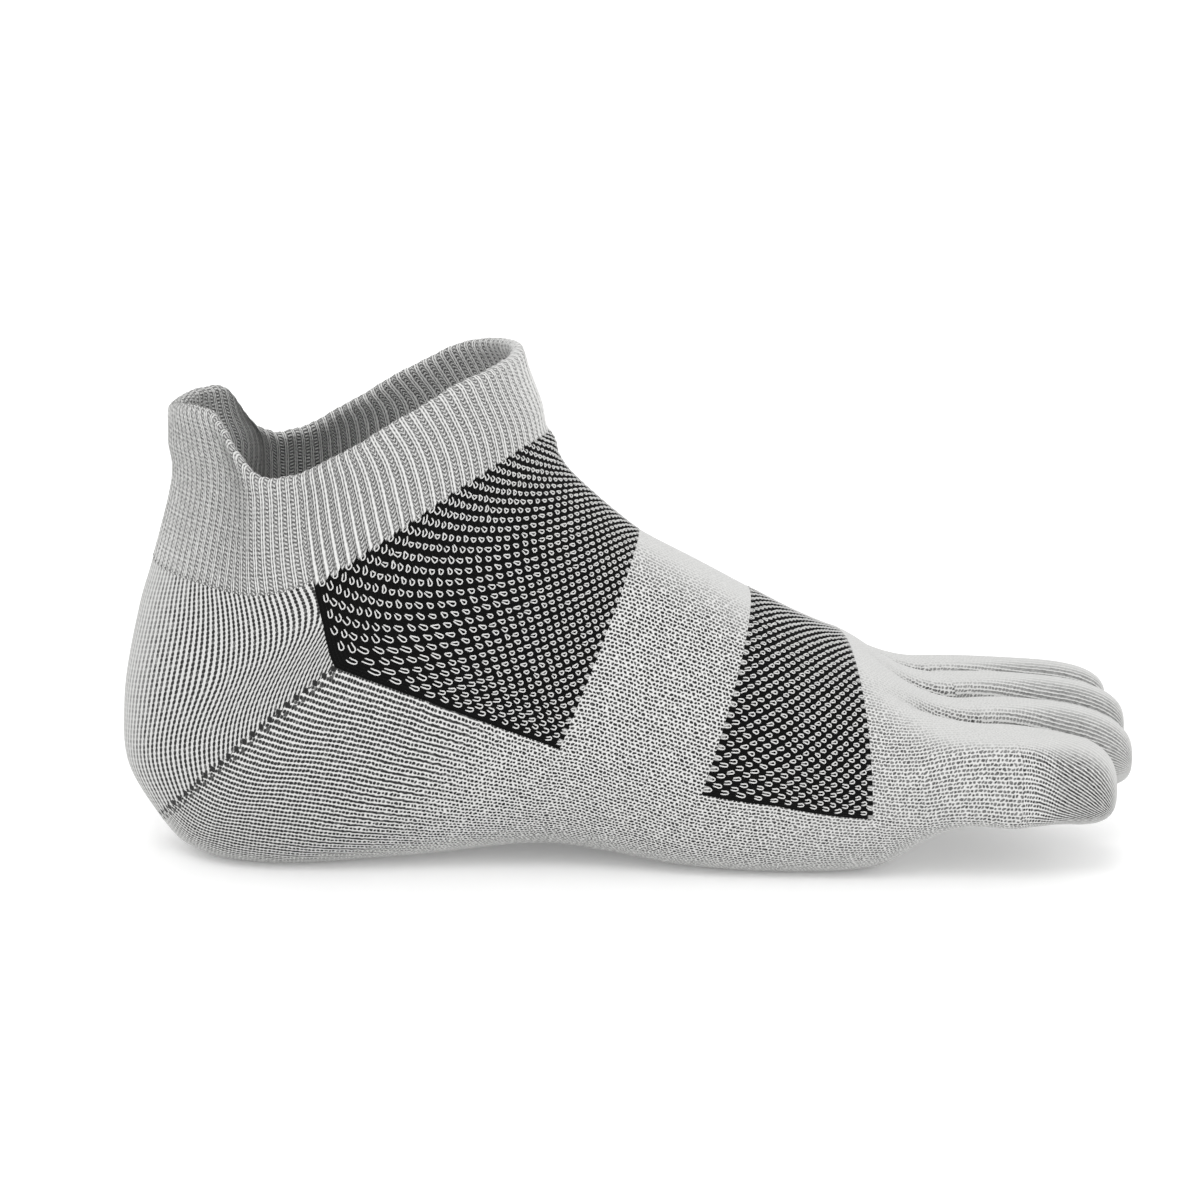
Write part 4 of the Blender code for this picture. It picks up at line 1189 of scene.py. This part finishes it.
def gathered(place, depth, gather):
    """Angle round a toe's tip as seen from the point where its wales gather. z is the place on a disc whose
    rim, of depth 1, is where the tip starts; q is the gathering point, which leaves the middle as the depth
    falls. The angle is that of (z less q) over (1 less the mirror of q times z)."""
    z = depth * np.exp(1j * place)
    q = gather.reach / (1 - gather.reach) * (1 - depth) * np.exp(1j * gather.angle)
    q = q * np.minimum(1, 0.97 / np.maximum(np.abs(q), 1e-9))
    angle = np.angle((z - q) / (1 - np.conj(q) * z))
    half = place.shape[1] // 2
    right = np.unwrap(angle[:, half:], axis=1)
    left = np.unwrap(angle[:, half::-1], axis=1)[:, ::-1]
    joined = np.concatenate([left[:, :-1], right], axis=1)
    turns = np.round((joined[:, half] - place[:, half]) / (2 * math.pi))
    return joined - turns[:, None] * 2 * math.pi


JOINED_GAP = 0.0012     # distance to the foot's edge up to which a toe's root meets it


def root_knit(ring):
    """Wales round a toe's root and the course that it starts on. Where the root meets the foot's knit they
    are the foot's own. Elsewhere they are about as wide, and the wales round the toe are a whole number."""
    shares = np.linspace(-2, 2, 4001)
    turns = column_turns(np.full(shares.shape, WEBS), shares)
    edge = SKIN.at(np.full(shares.shape, WEBS), turns)
    gaps = np.linalg.norm(ring[:, None] - edge[None, ::4], axis=2)
    nearest = np.minimum(np.argmin(gaps, axis=1) * 4, 4000)
    joined = gaps.min(axis=1) < JOINED_GAP
    wale = foot_wale(shares)[nearest]
    course = foot_course(np.full(len(ring), WEBS), turns[nearest])
    steps = np.linalg.norm(np.diff(ring, axis=0), axis=1)
    change = np.diff(wale)
    usual = np.median((change / steps)[joined[1:] & (change > 0) & (change < 3)])
    shared = joined[1:] & joined[:-1] & (change > 0.6 * usual * steps) & (change < 1.7 * usual * steps)
    pitch = steps[shared].sum() / change[shared].sum()
    change = np.where(shared, change, steps / pitch)
    total = change.sum()
    change[~shared] *= (round(total) - change[shared].sum()) / change[~shared].sum()
    places = np.concatenate([[0], np.cumsum(change)])
    columns = np.arange(len(ring))
    return places, np.interp(columns, columns[joined], course[joined]), wale, joined


def build_toe(index, material):
    """Toe pocket: out along its skin to the tip, and back along its lining."""
    gather = GATHERS[index]
    straight = np.linspace(0, TAPER_FROM, TOE_ROWS + 1)[:-1]
    tip = TAPER_FROM + (1 - TAPER_FROM) * np.sin(np.linspace(0, math.pi / 2, TIP_ROWS + 1))[:-1]
    rows = np.concatenate([straight, tip, [0.99995]])
    turn_round = gather.angle + np.linspace(0, 2 * math.pi, TOE_COLUMNS + 1)
    along, around = np.meshgrid(rows, turn_round, indexing="ij")
    outer = toe_surface(index, along, around)
    step = 0.004
    ahead = toe_surface(index, np.minimum(along + step, 0.99999), around)
    behind = toe_surface(index, np.maximum(along - step, 0), around)
    across = toe_surface(index, along, around + step) - toe_surface(index, along, around - step)
    normals = np.cross(ahead - behind, across)
    forward = unit(outer[-1].mean(axis=0) - outer[-3].mean(axis=0))
    pole = outer[-1].mean(axis=0) + forward * 0.00002
    normals[-1] = forward
    plane = unit(np.array([1.0, -SECTIONS[-1].sweep, 0.0]))
    normals = unit(normals)
    normals[0] = unit(normals[0] - (normals[0] @ plane)[..., None] * plane)
    inner = outer - normals * KNIT_WALL

    places, course, wale, joined = root_knit(outer[0])
    count = places[-1]
    lengths = np.linalg.norm(np.diff(outer, axis=0), axis=2).mean(axis=1)
    lengths = np.concatenate([[0], np.cumsum(lengths)])
    bent = np.clip((lengths / lengths[-1] - UNGATHERED) / (1 - UNGATHERED), 0, 1)
    depth = np.clip(1 - bent**2, 0.001, 1)[:, None]
    round_it = np.cumsum(np.linalg.norm(np.diff(outer, axis=1), axis=2), axis=1)
    round_it = np.concatenate([0 * round_it[:, :1], round_it], axis=1) / round_it[:, -1:]
    place = gather.angle + np.interp(round_it, round_it[0], places) / count * 2 * math.pi
    u = gathered(place, depth, gather) / (2 * math.pi) * count
    match = np.argmax(np.where(joined, -outer[0, :, 1] if index == 0 else outer[0, :, 2], -9))
    u += wale[match] - u[0, match]
    v = course[None, :] + lengths[:, None] / COURSES[-1].pitch
    crowd = np.linalg.norm(np.diff(outer, axis=1), axis=2) / np.maximum(np.abs(np.diff(u, axis=1)), 1e-6)
    crowd = np.concatenate([crowd, crowd[:, :1]], axis=1)
    crowd = ease((crowd - CLOSED_PITCH) / (OPEN_PITCH - CLOSED_PITCH))
    flank = openness(normals) * crowd * TOE_OPEN[0 if index == 0 else 1]
    lined = foot_lines(np.full(along.shape, WEBS)) + ease((along - 0.05) / 0.5) * 1.7
    toe = TOES[index]
    tips = (pole, pole - forward * KNIT_WALL)
    piece = put_shell(toe.name + "_knit", outer, inner, np.stack([u, v], axis=2), material, None, True,
                      {"lined": lined, "flank": flank, "ridged": 0 * along}, tips)
    settle(piece, toe.name)


# The stage.

def aim(thing, target):
    """Turns a camera or light so that it looks at a point."""
    direction = np.array(target) - np.array(thing.location)
    flat = math.hypot(direction[0], direction[1])
    thing.rotation_euler = (math.atan2(flat, -direction[2]), 0.0, math.atan2(-direction[0], direction[1]))


CAMERA_TARGET = np.array([0.063, 0.0, -0.0547])
CAMERA_DISTANCE = 1.1
CAMERA_TILT = math.radians(15)
LENS = 132              # millimetres, as is the sensor's width
SENSOR = 36
FLOOR_HALF = 6.0
FLOOR_GAP = 0.0003      # between the sole and the floor
# the floor glows faintly though it is no lamp: painted light that lightens the shadows on it and lights the
# sock from below
FLOOR_GLOW = 0.13
LIGHT_TARGET = (0.06, 0.0, -0.06)
Lamp = namedtuple("Lamp", "name place size power")
LAMPS = [
    Lamp("key", (-0.1, -1.0, 1.3), 0.7, 6),
    Lamp("fill", (1.1, -0.8, 0.8), 0.8, 2),
    Lamp("back", (0.2, 1.1, 1.1), 0.8, 3),
]


def build_camera():
    """Camera at the photograph's viewing angle, square to the sock's length and tilted down."""
    camera = bpy.data.objects.new("camera", bpy.data.cameras.new("camera"))
    away = np.array([0.0, -math.cos(CAMERA_TILT), math.sin(CAMERA_TILT)])
    camera.location = CAMERA_TARGET + CAMERA_DISTANCE * away
    camera.data.lens = LENS
    camera.data.sensor_width = SENSOR
    aim(camera, CAMERA_TARGET)
    bpy.context.scene.collection.objects.link(camera)
    bpy.context.scene.camera = camera


def build_light(lamp):
    """Round soft light aimed at the sock."""
    light = bpy.data.lights.new(lamp.name, "AREA")
    light.shape = "DISK"
    light.size = lamp.size
    light.energy = lamp.power
    thing = bpy.data.objects.new(lamp.name, light)
    thing.location = lamp.place
    aim(thing, LIGHT_TARGET)
    bpy.context.scene.collection.objects.link(thing)


def build_stage():
    """Plain pale floor that meets a pale surround and glows faintly, as painted light that lightens the
    shadows on it; three soft lights and the camera.
    """
    n = Nodes("floor")
    grain = n.noise(n.add("ShaderNodeTexCoord").outputs["Object"], 60.0, 2.0)
    n.plug(n.colours(grain, (0.93, 0.93, 0.93), (0.96, 0.96, 0.96)), n.shader.inputs["Base Color"])
    n.shader.inputs["Roughness"].default_value = 0.8
    # painted light: the floor's faint glow
    n.shader.inputs["Emission Color"].default_value = (1.0, 1.0, 1.0, 1.0)
    n.shader.inputs["Emission Strength"].default_value = FLOOR_GLOW
    box_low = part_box("foot_body")[0]
    height = box_low[2] - FLOOR_GAP
    corners = [(x * FLOOR_HALF, y * FLOOR_HALF, height) for x, y in ((-1, -1), (1, -1), (1, 1), (-1, 1))]
    mesh = bpy.data.meshes.new("floor")
    mesh.from_pydata(corners, [], [(0, 1, 2, 3)])
    mesh.materials.append(n.material)
    floor = bpy.data.objects.new("floor", mesh)
    bpy.context.scene.collection.objects.link(floor)
    world = bpy.data.worlds.new("surround")
    world.use_nodes = True
    world.node_tree.nodes["Background"].inputs[0].default_value = (1, 1, 1, 1)
    world.node_tree.nodes["Background"].inputs[1].default_value = 1.0
    bpy.context.scene.world = world
    for lamp in LAMPS:
        build_light(lamp)
    build_camera()
    bpy.context.scene.view_settings.view_transform = "Standard"


class TOESOCK_OT_cuff(bpy.types.Operator):
    """Ribbed cuff with its heel tab and folded rim"""
    bl_idname = "toesock.cuff"
    bl_label = "Cuff"

    def execute(self, context):
        build_cuff()
        return {"FINISHED"}


class TOESOCK_OT_heel(bpy.types.Operator):
    """Heel pocket above the gore line"""
    bl_idname = "toesock.heel"
    bl_label = "Heel"

    def execute(self, context):
        build_heel()
        return {"FINISHED"}


class TOESOCK_OT_foot(bpy.types.Operator):
    """Plain knit of the sole, the sides, the band and the forefoot"""
    bl_idname = "toesock.foot"
    bl_label = "Foot"

    def execute(self, context):
        build_foot()
        return {"FINISHED"}


class TOESOCK_OT_panels(bpy.types.Operator):
    """Two mesh panels over the instep and the forefoot, black ground and light loops"""
    bl_idname = "toesock.panels"
    bl_label = "Mesh panels"

    def execute(self, context):
        s = sizes()
        build_panel("instep_mesh", seam_station, gore_station, INSTEP_MESH_END, s.instep_courses,
                    s.loop_columns, 4)
        build_panel("forefoot_mesh", forefoot_start, None, FOREFOOT_MESH_END, s.forefoot_courses,
                    s.loop_columns, 7)
        return {"FINISHED"}


class TOESOCK_OT_toes(bpy.types.Operator):
    """Five toe pockets"""
    bl_idname = "toesock.toes"
    bl_label = "Toes"

    def execute(self, context):
        material = jersey("toe_knit")
        for index in range(len(TOES)):
            build_toe(index, material)
        return {"FINISHED"}


class TOESOCK_OT_stage(bpy.types.Operator):
    """Floor, lights and camera"""
    bl_idname = "toesock.stage"
    bl_label = "Stage"

    def execute(self, context):
        build_stage()
        return {"FINISHED"}


OPERATORS = (
    TOESOCK_OT_cuff, TOESOCK_OT_heel, TOESOCK_OT_foot, TOESOCK_OT_panels, TOESOCK_OT_toes, TOESOCK_OT_stage,
)


class TOESOCK_PT_panel(bpy.types.Panel):
    """Sizes, colours and pieces of the toe sock"""
    bl_label = "Toe Sock"
    bl_idname = "TOESOCK_PT_panel"
    bl_space_type = "VIEW_3D"
    bl_region_type = "UI"
    bl_category = "Toe Sock"

    def draw(self, context):
        for group in (context.scene.toe_sock_sizes, context.scene.toe_sock_colours):
            for key in group.__annotations__:
                self.layout.prop(group, key)
        for operator in OPERATORS:
            self.layout.operator(operator.bl_idname)


CLASSES = (KnitSizes, KnitColours) + OPERATORS + (TOESOCK_PT_panel,)


def register():
    for cls in CLASSES:
        bpy.utils.register_class(cls)
    bpy.types.Scene.toe_sock_sizes = bpy.props.PointerProperty(type=KnitSizes)
    bpy.types.Scene.toe_sock_colours = bpy.props.PointerProperty(type=KnitColours)


def unregister():
    del bpy.types.Scene.toe_sock_sizes
    del bpy.types.Scene.toe_sock_colours
    for cls in reversed(CLASSES):
        bpy.utils.unregister_class(cls)


def main():
    register()
    bpy.ops.toesock.cuff()
    bpy.ops.toesock.heel()
    bpy.ops.toesock.foot()
    bpy.ops.toesock.panels()
    bpy.ops.toesock.toes()
    bpy.ops.toesock.stage()


if __name__ == "__main__":
    main()
